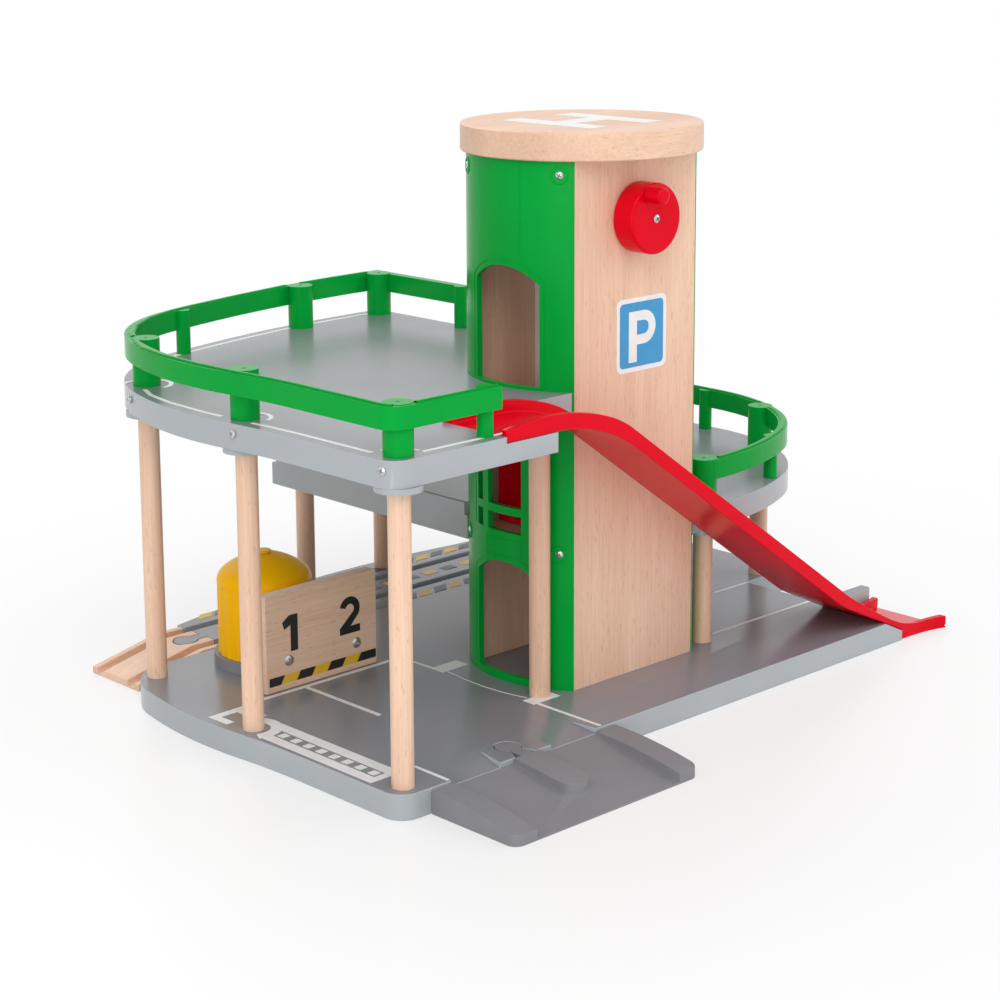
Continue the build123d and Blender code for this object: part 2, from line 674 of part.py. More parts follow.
def ramp_height(x):
    """Height of the underside's straight stretch at x."""
    return RAMP_LINE - RAMP_FALL * x


def ramp_underside(lift):
    """The ramp's line from the deck to the base's bevel, raised by lift."""
    FilletPolyline(
        (SEAT_X, SEAT_Z + lift),
        (TOP_BEND + 0.32 * lift, SEAT_Z + lift),
        (LOW_BEND + 0.32 * lift, ramp_height(LOW_BEND) + lift),
        (HOOK_X + 0.25 * lift, HOOK_Z + 0.9 * lift),
        radius=[90, 60],
    )


def ramp_plan(inset):
    """Plan of the ramp with its foot flared, drawn in from its sides by inset."""
    far_edge = RAMP_FAR - inset
    near_edge = RAMP_NEAR + inset
    start = SEAT_X - inset
    end = RAMP_END + inset
    with BuildSketch() as plan:
        with BuildLine():
            Line((start, far_edge), (160, far_edge))
            Spline((160, far_edge), (end, far_edge + FLARE_FAR), tangents=[(1, 0), (1, 0.3)])
            Line((end, far_edge + FLARE_FAR), (end, near_edge - FLARE_NEAR))
            Spline((end, near_edge - FLARE_NEAR), (160, near_edge), tangents=[(-1, 0.4), (-1, 0)])
            Polyline((160, near_edge), (start, near_edge), (start, far_edge))
        make_face()
    return plan.sketch


with BuildPart() as ramp_sides:
    with BuildSketch(Plane.XZ.offset(-RAMP_FAR - FLARE_FAR)):
        with BuildLine():
            ramp_underside(0)
            Polyline(
                (HOOK_X, HOOK_Z), (HOOK_X, 0), (RAMP_END - 2, 0), (RAMP_END, 2), (RAMP_END, 6.5)
            )
            Line((RAMP_END, 6.5), (176, 6.2))
            Spline(
                (176, 6.2), (150, 14.2), (124.4, 28.5), (114, ramp_height(114) + 8),
                tangents=[(-1, 0.06), (-1, RAMP_FALL)],
            )
            Line((114, ramp_height(114) + 8), (-45, ramp_height(-45) + 8))
            Spline(
                (-45, ramp_height(-45) + 8), (-70, 158.2), (-98, 161.9), (SEAT_X, 159.6),
                tangents=[(-1, RAMP_FALL), (-1, -0.1)],
            )
            Line((SEAT_X, 159.6), (SEAT_X, SEAT_Z))
        make_face()
    extrude(amount=RAMP_FAR - RAMP_NEAR + FLARE_FAR + FLARE_NEAR)
    with BuildSketch():
        add(ramp_plan(0))
        add(ramp_plan(RAMP_WALL), mode=Mode.SUBTRACT)
    extrude(amount=TOP_TOP + BOARD, mode=Mode.INTERSECT)

with BuildPart() as exit_ramp:
    with BuildSketch(Plane.XZ.offset(-RAMP_FAR - FLARE_FAR)):
        with BuildLine():
            ramp_underside(0)
            Polyline((HOOK_X, HOOK_Z), (HOOK_X, 0), (RAMP_END, 0), (RAMP_END, 1.0))
            Line((RAMP_END, 1.0), (HOOK_X + 0.25 * RAMP_FLOOR, HOOK_Z + 0.9 * RAMP_FLOOR))
            ramp_underside(RAMP_FLOOR)
            Line((SEAT_X, SEAT_Z + RAMP_FLOOR), (SEAT_X, SEAT_Z))
        make_face()
    extrude(amount=RAMP_FAR - RAMP_NEAR + FLARE_FAR + FLARE_NEAR)
    with BuildSketch():
        add(ramp_plan(0))
    extrude(amount=TOP_TOP + BOARD, mode=Mode.INTERSECT)
    add(ramp_sides.part)
save(exit_ramp, "exit_ramp")

# --------------------------------------------------------------------------- drive-in ramp
ENTRY_LONG = 51.0
CURB_WIDE = 13.0
TONGUE_HALF = 7.75
ENTRY_NEAR = BASE_FRONT - 0.3
ENTRY_TIP = ENTRY_NEAR - ENTRY_LONG

with BuildPart() as drive_in_ramp:
    with BuildSketch(Plane.YZ.offset(ENTRY_X - ENTRY_HALF)):
        with BuildLine():
            Polyline(
                (ENTRY_NEAR, 0), (ENTRY_NEAR, 9.6), (ENTRY_TIP, 0.8), (ENTRY_TIP, 0), close=True
            )
        make_face()
    extrude(amount=2 * ENTRY_HALF)
    for start in (ENTRY_X - ENTRY_HALF, ENTRY_X + ENTRY_HALF - CURB_WIDE):
        with BuildSketch(Plane.YZ.offset(start)):
            with BuildLine():
                Polyline((ENTRY_TIP, 4.9), (ENTRY_TIP, 0), (ENTRY_NEAR, 0), (ENTRY_NEAR, 10.8))
                ThreePointArc((ENTRY_NEAR, 10.8), (-108, 8.6), (ENTRY_TIP, 4.9))
            make_face()
        extrude(amount=CURB_WIDE)
    corners = drive_in_ramp.edges().filter_by(Axis.Z).group_by(Axis.Y)[0]
    fillet(corners.sort_by(Axis.X)[0], 5)
    corners = drive_in_ramp.edges().filter_by(Axis.Z).group_by(Axis.Y)[0]
    fillet(corners.sort_by(Axis.X)[-1], 5)
    # raised middle tongue
    with BuildSketch(Plane.YZ.offset(ENTRY_X - TONGUE_HALF)):
        with BuildLine():
            Polyline((ENTRY_NEAR, 0), (ENTRY_NEAR, BASE_TOP), (-112.5, 8.5), (-112.5, 0), close=True)
        make_face()
    extrude(amount=2 * TONGUE_HALF)
    fillet(
        drive_in_ramp.edges().filter_by(Axis.Z).filter_by_position(Axis.Y, -113, -112), TONGUE_HALF - 0.5
    )
    # peg that drops into the base's socket
    with BuildSketch():
        with Locations((ENTRY_X, ENTRY_PEG_Y)):
            Circle(PEG_R)
        with Locations((ENTRY_X, (ENTRY_PEG_Y + ENTRY_NEAR) / 2)):
            Rectangle(PEG_NECK, ENTRY_PEG_Y - ENTRY_NEAR)
    extrude(amount=BASE_TOP)
save(drive_in_ramp, "drive_in_ramp")

# ------------------------------------------------------------------------------ track ramp
SLOPE_TOP = -132.0
TRACK_TIP = -172.0
TRACK_TIP_TALL = 3.6

with BuildPart() as track_ramp:
    with BuildSketch(Plane.XZ.offset(-TRACK_Y - TRACK_HALF)):
        with BuildLine():
            Polyline(
                (TRACK_END - 0.4, 0),
                (TRACK_END - 0.4, BASE_TOP),
                (SLOPE_TOP, BASE_TOP),
                (TRACK_TIP, TRACK_TIP_TALL),
                (TRACK_TIP, 0),
                close=True,
            )
        make_face()
    extrude(amount=2 * TRACK_HALF)
    for shift in (-GROOVE_APART, GROOVE_APART):
        with BuildSketch(Plane.XZ.offset(-TRACK_Y - shift - GROOVE_WIDE / 2)):
            with BuildLine():
                Polyline(
                    (TRACK_END, BASE_TOP + 1),
                    (TRACK_END, BASE_TOP - GROOVE_DEEP),
                    (SLOPE_TOP, BASE_TOP - GROOVE_DEEP),
                    (TRACK_TIP - 1, TRACK_TIP_TALL - GROOVE_DEEP + 0.3),
                    (TRACK_TIP - 1, BASE_TOP + 1),
                    close=True,
                )
            make_face()
        extrude(amount=GROOVE_WIDE, mode=Mode.SUBTRACT)
    with BuildSketch():
        with Locations((TRACK_END - PEG_REACH, TRACK_Y)):
            Circle(PEG_R + PEG_PLAY)
        with Locations((TRACK_END - PEG_REACH / 2, TRACK_Y)):
            Rectangle(PEG_REACH, PEG_NECK + 2 * PEG_PLAY)
    extrude(amount=BOARD, mode=Mode.SUBTRACT)
save(track_ramp, "track_ramp")

# ----------------------------------------------------------------- parking wall and tank
WALL_LEFT = -150.6
WALL_RIGHT = -81.2
WALL_Y = 61.0
WALL_THICK = 7.0
WALL_TOP = 60.0

with BuildPart() as parking_wall:
    with BuildSketch(Plane.XZ.offset(-WALL_Y - WALL_THICK)):
        with Locations((WALL_LEFT, BASE_TOP)):
            Rectangle(WALL_RIGHT - WALL_LEFT, WALL_TOP - BASE_TOP, align=(Align.MIN, Align.MIN))
    extrude(amount=WALL_THICK)
    fillet(parking_wall.edges().filter_by(Axis.Y).group_by(Axis.Z)[-1], 1.5)
save(parking_wall, "parking_wall")

TANK_MIDDLE = (-118.0, 102.5)
TANK_R = 23.6
TANK_SHOULDER = 57.0
TANK_APEX = 67.5
CAP_R = 3.7
RING_R = 25.6
RING_TOP = 18.0
TANK_PANELS = 24                # upright panels round the tank
# the tank's outline: (height, radius) from its foot to the rim under the cap
TANK_LEVELS = [
    (RING_TOP, TANK_R),
    (TANK_SHOULDER - 2, TANK_R),
    (TANK_SHOULDER + 1, TANK_R - 2),
    (63.5, 15.0),
    (66.6, 8.0),
    (TANK_APEX, CAP_R),
]

with BuildPart() as tank_body:
    for (low, wide), (high, narrow) in zip(TANK_LEVELS, TANK_LEVELS[1:]):
        with BuildSketch(Plane.XY.offset(low)):
            with Locations(TANK_MIDDLE):
                RegularPolygon(wide, TANK_PANELS, major_radius=False)
        extrude(amount=high - low, taper=degrees(atan((wide - narrow) / (high - low))))
save(tank_body, "tank_body")

with BuildPart() as tank_ring:
    with BuildSketch(Plane.XY.offset(BASE_TOP)):
        with Locations(TANK_MIDDLE):
            Circle(RING_R)
    extrude(amount=RING_TOP - BASE_TOP)
save(tank_ring, "tank_ring")

with BuildPart() as tank_cap:
    with BuildSketch(Plane.XY.offset(TANK_APEX)):
        with Locations(TANK_MIDDLE):
            Circle(CAP_R)
    extrude(amount=1.4)
save(tank_cap, "tank_cap")
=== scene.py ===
import json
import math

import bmesh
import bpy
from mathutils import Matrix, Vector

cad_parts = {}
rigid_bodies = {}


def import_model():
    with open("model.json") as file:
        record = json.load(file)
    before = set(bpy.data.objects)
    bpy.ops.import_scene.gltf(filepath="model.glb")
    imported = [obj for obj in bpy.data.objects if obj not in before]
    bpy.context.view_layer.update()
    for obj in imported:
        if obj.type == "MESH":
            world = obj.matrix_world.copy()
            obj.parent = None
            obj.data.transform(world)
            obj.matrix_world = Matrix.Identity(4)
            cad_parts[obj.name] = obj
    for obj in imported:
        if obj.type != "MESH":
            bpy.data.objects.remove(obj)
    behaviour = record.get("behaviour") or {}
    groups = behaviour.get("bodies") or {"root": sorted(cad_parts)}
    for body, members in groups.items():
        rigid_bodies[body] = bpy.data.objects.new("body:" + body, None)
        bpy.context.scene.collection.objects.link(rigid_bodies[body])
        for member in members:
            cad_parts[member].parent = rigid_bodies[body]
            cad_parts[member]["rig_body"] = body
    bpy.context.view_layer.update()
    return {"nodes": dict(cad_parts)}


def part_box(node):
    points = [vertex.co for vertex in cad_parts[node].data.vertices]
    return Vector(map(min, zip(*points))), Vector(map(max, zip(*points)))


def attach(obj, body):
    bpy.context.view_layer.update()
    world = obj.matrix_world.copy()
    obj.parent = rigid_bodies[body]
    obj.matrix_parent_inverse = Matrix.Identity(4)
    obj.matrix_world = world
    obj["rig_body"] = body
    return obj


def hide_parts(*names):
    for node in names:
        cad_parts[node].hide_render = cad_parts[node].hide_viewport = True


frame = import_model()
NODES = frame["nodes"]
MM = 0.001

# Faces that carry prints and trim, read from the frame, in metres.
BASE_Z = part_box("base_board")[1].z
TOP_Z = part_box("top_fence")[0].z
ROOF_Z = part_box("roof_disc")[1].z
FRONT_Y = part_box("tower_front_panel")[0].y
TOWER_R = -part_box("tower_left_shell")[0].x
WALL_FACE_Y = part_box("parking_wall")[0].y

PRINT = 0.12 * MM  # thickness of the printed marks
LAYER = 0.01 * MM  # step between the marks of one print
LAYERS = 6  # heights that these marks take in turn
UP = (0, 0, 1)
FORWARD = (0, -1, 0)

# Middles of the fences' sleeves, (x, y) in mm.
TOP_SLEEVES = ((-171.0, 120.8), (-182.0, 31.0), (-179.3, -68.2), (-26.0, 183.0), (30.0, 183.5))
MID_SLEEVES = ((58.9, -28.2), (170.7, 28.2))


# ------------------------------------------------------------------ materials
class Shader:
    """A principled material with short calls for its nodes."""

    def __init__(self, name):
        self.material = bpy.data.materials.new(name)
        self.material.use_nodes = True
        self.tree = self.material.node_tree
        self.bsdf = self.tree.nodes["Principled BSDF"]
        self.coordinates = self.node("ShaderNodeTexCoord").outputs["Object"]

    def node(self, kind, **settings):
        made = self.tree.nodes.new(kind)
        for key, value in settings.items():
            setattr(made, key, value)
        return made

    def join(self, output, socket):
        self.tree.links.new(output, socket)

    def stretched(self, scale, turn=(0, 0, 0)):
        mapping = self.node("ShaderNodeMapping")
        mapping.inputs["Scale"].default_value = scale
        mapping.inputs["Rotation"].default_value = turn
        self.join(self.coordinates, mapping.inputs["Vector"])
        return mapping.outputs["Vector"]

    def noise(self, vector, scale, detail=3.0, roughness=0.55, distortion=0.0):
        made = self.node("ShaderNodeTexNoise")
        made.inputs["Scale"].default_value = scale
        made.inputs["Detail"].default_value = detail
        made.inputs["Roughness"].default_value = roughness
        made.inputs["Distortion"].default_value = distortion
        self.join(vector, made.inputs["Vector"])
        return made.outputs["Fac"]

    def ramp(self, fac, stops):
        made = self.node("ShaderNodeValToRGB")
        while len(made.color_ramp.elements) < len(stops):
            made.color_ramp.elements.new(0.5)
        for element, (position, colour) in zip(made.color_ramp.elements, stops):
            element.position = position
            element.color = (*colour, 1)
        self.join(fac, made.inputs["Fac"])
        return made.outputs["Color"]

    def mix(self, fac, first, second, blend="MIX"):
        """Two colours mixed by a factor, each of the three a value or a node's output."""
        made = self.node("ShaderNodeMix", data_type="RGBA", blend_type=blend)
        for value, index in ((fac, 0), (first, 6), (second, 7)):
            socket = made.inputs[index]
            if isinstance(value, (int, float)):
                socket.default_value = value
            elif isinstance(value, tuple):
                socket.default_value = (*value, 1)
            else:
                self.join(value, socket)
        return made.outputs[2]

    def spread(self, fac, low, high):
        made = self.node("ShaderNodeMapRange")
        made.inputs["To Min"].default_value = low
        made.inputs["To Max"].default_value = high
        self.join(fac, made.inputs["Value"])
        return made.outputs["Result"]

    def bump(self, height, strength, distance):
        made = self.node("ShaderNodeBump")
        made.inputs["Strength"].default_value = strength
        made.inputs["Distance"].default_value = distance
        self.join(height, made.inputs["Height"])
        self.join(made.outputs["Normal"], self.bsdf.inputs["Normal"])


def shade(colour, factor):
    return tuple(min(1.0, channel * factor) for channel in colour)


def moulded(name, colour, roughness=0.2, gloss=0.08):
    """Glossy moulded plastic with a faint orange peel and slightly uneven colour."""
    made = Shader(name)
    cloud = made.noise(made.coordinates, 25.0, 4.0)
    made.join(
        made.ramp(cloud, [(0.3, shade(colour, 0.94)), (0.7, shade(colour, 1.05))]),
        made.bsdf.inputs["Base Color"],
    )
    made.join(made.spread(cloud, roughness - 0.05, roughness + 0.07), made.bsdf.inputs["Roughness"])
    made.bsdf.inputs["Specular IOR Level"].default_value = gloss
    made.bump(made.noise(made.coordinates, 900.0, 2.0), 0.05, 0.0004)
    return made.material


def beech(name, grain, turn=(0, 0, 0)):
    """Pale lacquered beech: broad figure, fine lines and short dark flecks along the grain."""
    made = Shader(name)
    along = {"X": (1, 12, 12), "Z": (12, 12, 1)}[grain]
    fine = tuple(7 * a if a > 1 else 2.5 for a in along)
    short = tuple(10 * a if a > 1 else 22 for a in along)
    broad = made.noise(made.stretched(along, turn), 2.2, 3.0, 0.5, 0.9)
    lines = made.noise(made.stretched(fine, turn), 9.0, 4.0, 0.65)
    flecks = made.noise(made.stretched(short, turn), 9.0, 1.0, 0.3)
    ground = made.ramp(
        broad,
        [(0.28, (0.72, 0.475, 0.335)), (0.5, (0.80, 0.55, 0.40)), (0.72, (0.87, 0.63, 0.475))],
    )
    lined = made.mix(
        0.4, ground, made.ramp(lines, [(0.3, (0.72, 0.52, 0.38)), (0.7, (1.0, 0.98, 0.96))]), "MULTIPLY"
    )
    flecked = made.mix(
        made.spread(made.ramp(flecks, [(0.66, (0, 0, 0)), (0.72, (1, 1, 1))]), 0.0, 0.3),
        lined,
        (0.42, 0.22, 0.11),
    )
    made.join(flecked, made.bsdf.inputs["Base Color"])
    made.join(made.spread(lines, 0.36, 0.52), made.bsdf.inputs["Roughness"])
    made.bump(lines, 0.10, 0.0006)
    return made.material


def painted_board(name, top, side, roughness=0.4):
    """Board with a slightly darker top and lighter sides, told apart by which way each face points."""
    made = Shader(name)
    split = made.node("ShaderNodeSeparateXYZ")
    made.join(made.node("ShaderNodeNewGeometry").outputs["True Normal"], split.inputs["Vector"])
    flat = made.node("ShaderNodeMath", operation="GREATER_THAN")
    flat.inputs[1].default_value = 0.85
    made.join(split.outputs["Z"], flat.inputs[0])
    cloud = made.noise(made.coordinates, 14.0, 5.0)
    upper = made.ramp(cloud, [(0.3, shade(top, 0.95)), (0.7, shade(top, 1.04))])
    lower = made.ramp(cloud, [(0.3, shade(side, 0.95)), (0.7, shade(side, 1.03))])
    made.join(made.mix(flat.outputs[0], lower, upper), made.bsdf.inputs["Base Color"])
    fibre = made.noise(made.stretched((1, 3, 3)), 30.0, 3.0)
    made.join(made.spread(fibre, roughness - 0.03, roughness + 0.03), made.bsdf.inputs["Roughness"])
    made.bump(made.noise(made.coordinates, 500.0, 2.0), 0.02, 0.0002)
    return made.material


def printed(name, colour, roughness=0.42):
    """Screen-printed ink with a slightly uneven cover."""
    made = Shader(name)
    cover = made.noise(made.coordinates, 160.0, 4.0)
    made.join(
        made.ramp(cover, [(0.25, shade(colour, 0.92)), (0.6, colour)]), made.bsdf.inputs["Base Color"]
    )
    made.join(made.spread(cover, roughness - 0.05, roughness + 0.08), made.bsdf.inputs["Roughness"])
    return made.material


def metal(name, colour, roughness):
    made = Shader(name)
    made.bsdf.inputs["Metallic"].default_value = 1.0
    scratch = made.noise(made.coordinates, 700.0, 3.0)
    made.join(
        made.ramp(scratch, [(0.3, shade(colour, 0.86)), (0.7, colour)]), made.bsdf.inputs["Base Color"]
    )
    made.join(made.spread(scratch, roughness - 0.08, roughness + 0.1), made.bsdf.inputs["Roughness"])
    return made.material


BEECH_UP = beech("beech_upright", "Z")
BEECH_FLAT = beech("beech_flat", "X")
BEECH_ROOF = beech("beech_roof", "X", (0, 0, 0.5))
PLUG_WOOD = beech("plug_beech", "X", (0, 0, 1.1))
BOARD = painted_board("grey_painted_board", (0.225, 0.235, 0.26), (0.38, 0.41, 0.43), 0.24)
GREY_PLASTIC = moulded("grey_moulded_plastic", (0.235, 0.235, 0.25), 0.36)
GREEN = moulded("green_moulded_plastic", (0.0, 0.34, 0.04))
RED = moulded("red_moulded_plastic", (0.70, 0.0, 0.012))
YELLOW = moulded("yellow_moulded_plastic", (0.98, 0.50, 0.0), 0.3)
PALE_PLASTIC = moulded("pale_moulded_plastic", (0.72, 0.72, 0.7), 0.4)
WHITE_INK = printed("white_ink", (0.80, 0.80, 0.80))
# black print, also used as painted shade for the holes in the fence sleeves' tops
BLACK_INK_AND_HOLE_SHADE = printed("black_ink_and_hole_shade", (0.012, 0.012, 0.013))
YELLOW_INK = printed("yellow_ink", (0.80, 0.48, 0.03))
DARK_INK = printed("dark_ink", (0.075, 0.075, 0.08))
BLUE_INK = printed("blue_ink", (0.035, 0.29, 0.58))
STEEL = metal("screw_steel", (0.62, 0.62, 0.64), 0.3)
BELT = printed("belt_rubber", (0.02, 0.02, 0.02), 0.7)


# --------------------------------------------------------------- mesh helpers
def piece(name, mesh_data, material, body):
    """Object from finished mesh data that rides on a body."""
    made = bpy.data.objects.new(name, mesh_data)
    bpy.context.scene.collection.objects.link(made)
    mesh_data.materials.clear()
    mesh_data.materials.append(material)
    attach(made, body)
    return made


def smooth(mesh_data, angle=35.0):
    for polygon in mesh_data.polygons:
        polygon.use_smooth = True
    mesh_data.set_sharp_from_angle(angle=math.radians(angle))


def dress(node, material, round_mm=0.5, segments=2):
    """The CAD node's own shape with its flat faces merged and its hard edges eased."""
    shape = bmesh.new()
    shape.from_mesh(NODES[node].data)
    bmesh.ops.remove_doubles(shape, verts=shape.verts, dist=0.002 * MM)
    bmesh.ops.dissolve_limit(
        shape, angle_limit=math.radians(0.4), verts=shape.verts, edges=shape.edges
    )
    data = bpy.data.meshes.new(node + "_dressed")
    shape.to_mesh(data)
    shape.free()
    smooth(data)
    made = piece(node + "_finished", data, material, NODES[node]["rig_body"])
    if round_mm:
        bevel = made.modifiers.new("eased", "BEVEL")
        bevel.width = round_mm * MM
        bevel.segments = segments
        bevel.limit_method = "ANGLE"
        bevel.angle_limit = math.radians(40)
        bevel.harden_normals = True
        bevel.use_clamp_overlap = True
    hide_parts(node)


class Band(list):
    """Outline made of two matching lines, there and back, which is filled between them."""


def prism(outline, plane, height):
    """Closed mesh: an outline of (u, v) points on a plane, raised along the plane's normal."""
    shape = bmesh.new()
    low = [shape.verts.new(plane @ Vector((u, v, 0))) for u, v in outline]
    high = [shape.verts.new(plane @ Vector((u, v, height))) for u, v in outline]
    count = len(outline)
    if isinstance(outline, Band):
        for i in range(count // 2 - 1):
            across = (i, i + 1, count - 2 - i, count - 1 - i)
            shape.faces.new([high[k] for k in across])
            shape.faces.new([low[k] for k in reversed(across)])
    else:
        shape.faces.new(high)
        shape.faces.new(low[::-1])
    for i in range(count):
        j = (i + 1) % count
        shape.faces.new((low[i], low[j], high[j], high[i]))
    bmesh.ops.recalc_face_normals(shape, faces=shape.faces)
    return shape


def merged(name, shapes, material, body):
    """One piece from several closed shapes."""
    whole = bmesh.new()
    for shape in shapes:
        part = bpy.data.meshes.new("part")
        shape.to_mesh(part)
        shape.free()
        whole.from_mesh(part)
        bpy.data.meshes.remove(part)
    data = bpy.data.meshes.new(name)
    whole.to_mesh(data)
    whole.free()
    smooth(data)
    return piece(name, data, material, body)


def flat_plane(z):
    """Printing plane on a floor: u is X and v is Y, in metres."""
    return Matrix.Translation((0, 0, z))


def front_plane(y):
    """Printing plane on a front face: u is X and v is Z."""
    return Matrix(((1, 0, 0, 0), (0, 0, -1, y), (0, 1, 0, 0), (0, 0, 0, 1)))


def mm_points(points):
    return type(points)((u * MM, v * MM) for u, v in points)


def rectangle(left, right, low, high):
    return [(left, low), (right, low), (right, high), (left, high)]


def round_corners(points, radius, steps=5):
    """The outline with every corner rounded to the radius."""
    rounded = []
    count = len(points)
    for i in range(count):
        here = Vector(points[i])
        before = (Vector(points[i - 1]) - here).normalized()
        after = (Vector(points[(i + 1) % count]) - here).normalized()
        half = before.angle(after) / 2
        reach = radius / math.tan(half)
        centre = here + (before + after).normalized() * (radius / math.sin(half))
        first = here + before * reach - centre
        last = here + after * reach - centre
        turn = first.angle_signed(last)
        for step in range(steps + 1):
            angle = -turn * step / steps
            spoke = Matrix.Rotation(angle, 2) @ first
            rounded.append(tuple(centre + spoke))
    return rounded


def arc(cx, cy, radius, start, stop, steps):
    """Points on a circle, angles in degrees."""
    return [
        (
            cx + radius * math.cos(math.radians(start + (stop - start) * i / steps)),
            cy + radius * math.sin(math.radians(start + (stop - start) * i / steps)),
        )
        for i in range(steps + 1)
    ]


def ring_strip(inner, outer):
    """Closed band between two open lines of points."""
    return Band(inner + outer[::-1])


def stripe(points, width):
    """Outline of a line of that width through the points."""
    left, right = [], []
    count = len(points)
    for i in range(count):
        here = Vector(points[i])
        before = Vector(points[max(i - 1, 0)])
        after = Vector(points[min(i + 1, count - 1)])
        along = (after - before).normalized()
        side = Vector((-along.y, along.x)) * width / 2
        left.append(tuple(here + side))
        right.append(tuple(here - side))
    return Band(left + right[::-1])


def prints(name, outlines, plane, material, height=PRINT):
    """Printed marks: each outline a thin raised film, and overlapping ones at different heights."""
    shapes = [
        prism(mm_points(points), plane, height + index % LAYERS * LAYER)
        for index, points in enumerate(outlines)
    ]
    return merged(name, shapes, material, "garage")


# --------------------------------------------------------- finished CAD nodes
for number in range(1, 9):
    dress(f"column_{number}", BEECH_UP, 0)
dress("base_board", BOARD, 0.7)
dress("top_deck", BOARD, 0.7)
dress("mid_deck", BOARD, 0.7)
dress("top_fence", GREEN, 0.7, 3)
dress("mid_fence", GREEN, 0.7, 3)
dress("tower_front_panel", BEECH_UP, 0.5)
dress("tower_back_panel", BEECH_UP, 0.5)
dress("tower_left_shell", GREEN, 0.5)
dress("tower_right_shell", GREEN, 0.5)
dress("roof_disc", BEECH_ROOF, 0.9, 3)
dress("left_landing", BEECH_FLAT, 0.4)
dress("right_landing", BEECH_FLAT, 0.4)
dress("tower_head_board", BEECH_FLAT, 0.4)
dress("crank_knob", RED, 1.4, 4)
dress("crank_handle", RED, 1.6, 4)
dress("lift_cabin", RED, 0.4)
dress("cabin_clip", RED, 0.3)
dress("lift_guide", PALE_PLASTIC, 0.4)
dress("drive_pulley", PALE_PLASTIC, 0)
dress("idler_pulley", PALE_PLASTIC, 0)
dress("hoist_loop", BELT, 0)
dress("idler_pin", STEEL, 0)
dress("crank_shaft", STEEL, 0)
dress("exit_ramp", RED, 0.5)
dress("drive_in_ramp", GREY_PLASTIC, 0.25)
dress("lane_wedge", GREY_PLASTIC, 0.4)
dress("track_ramp", BEECH_FLAT, 0.5)
dress("parking_wall", BEECH_FLAT, 0.6)
dress("tank_ring", GREY_PLASTIC, 0.2)
dress("tank_cap", YELLOW, 0.6, 3)


# ------------------------------------------------------------- printed marks
# parking sign on the tower's front: a letter on a field on a border, each a little higher
SIGN_PLANE = front_plane(FRONT_Y)
P_SIGN = (-13.2, 21.3, 161.0, 196.5)
BOWL_FOOT = 0.34  # share of the letter's height under its bowl


def letter_p(left, low, tall, wide, stroke):
    """Two overlapping outlines for a capital P: its stem and its open bowl."""
    bowl_high = low + tall
    bowl_low = low + BOWL_FOOT * tall
    radius = (bowl_high - bowl_low) / 2
    middle = (bowl_high + bowl_low) / 2
    centre = left + wide - radius
    start = left + stroke * 0.5
    outer = [(start, bowl_high)] + arc(centre, middle, radius, 90, -90, 16) + [(start, bowl_low)]
    inner = [(start, bowl_high - stroke * 0.8)]
    inner += arc(centre, middle, radius - stroke * 0.85, 90, -90, 16)
    inner += [(start, bowl_low + stroke * 0.8)]
    return [rectangle(left, left + stroke, low, bowl_high), ring_strip(inner, outer)]


left, right, low, high = P_SIGN
prints(
    "sign_border", [round_corners(rectangle(*P_SIGN), 3.5)], SIGN_PLANE, WHITE_INK
)
prints(
    "sign_field",
    [round_corners(rectangle(left + 2.1, right - 2.2, low + 2.3, high - 2.2), 2.2)],
    SIGN_PLANE,
    BLUE_INK,
    height=PRINT * 1.6,
)
prints(
    "sign_letter",
    letter_p(-5.0, 165.6, 24.4, 18.6, 5.6),
    SIGN_PLANE,
    WHITE_INK,
    height=PRINT * 2.2,
)

# helipad letter on the roof, its bars along Y
prints(
    "roof_letter",
    [
        rectangle(-24.8, -11.8, -29, 29),
        rectangle(11.6, 24.4, -29, 29),
        rectangle(-12.0, 11.8, -6.2, 6.2),
    ],
    flat_plane(ROOF_Z),
    WHITE_INK,
)

# parking wall: numbers and the warning band
WALL_PLANE = front_plane(WALL_FACE_Y)


def digit_two(left, low, tall, wide, stroke):
    """Plain 2 in two overlapping outlines: a hook with its slanting stem, and a foot."""
    radius = wide / 2
    middle = left + radius
    high = low + tall - radius
    outer = arc(middle, high, radius, 165, -30, 18) + [(left + stroke * 1.35, low + stroke * 0.5)]
    inner = arc(middle, high, radius - stroke, 165, -30, 18) + [(left, low + stroke * 0.9)]
    return [ring_strip(inner, outer), rectangle(left, left + wide, low, low + stroke)]


digit_one = [
    rectangle(-135.4, -131.0, 30.5, 48.6),
    [(-135.6, 43.6), (-135.0, 48.6), (-136.2, 48.6), (-140.4, 45.6), (-139.2, 42.0)],
]
digit_two_marks = digit_two(-104.8, 31.0, 18.6, 12.8, 3.7)
prints("parking_number_one", digit_one, WALL_PLANE, BLACK_INK_AND_HOLE_SHADE)
prints("parking_number_two", digit_two_marks, WALL_PLANE, BLACK_INK_AND_HOLE_SHADE)

BAND_LEFT, BAND_RIGHT, BAND_LOW, BAND_HIGH = -148.8, -82.1, 15.3, 19.6
BAND_BARS = 7
BAND_LEAN = 2.6
BAND_BAR = (BAND_RIGHT - BAND_LEFT) / BAND_BARS
band_bars = [[], []]
for count in range(BAND_BARS):
    start = BAND_LEFT + count * BAND_BAR
    end = start + BAND_BAR
    low_start = start - BAND_LEAN if count else start
    low_end = end - BAND_LEAN if count < BAND_BARS - 1 else end
    bar = [(low_start, BAND_LOW), (low_end, BAND_LOW), (end, BAND_HIGH), (start, BAND_HIGH)]
    band_bars[count % 2].append(bar)
prints("warning_band_black", band_bars[0], WALL_PLANE, BLACK_INK_AND_HOLE_SHADE)
prints("warning_band_yellow", band_bars[1], WALL_PLANE, YELLOW_INK)

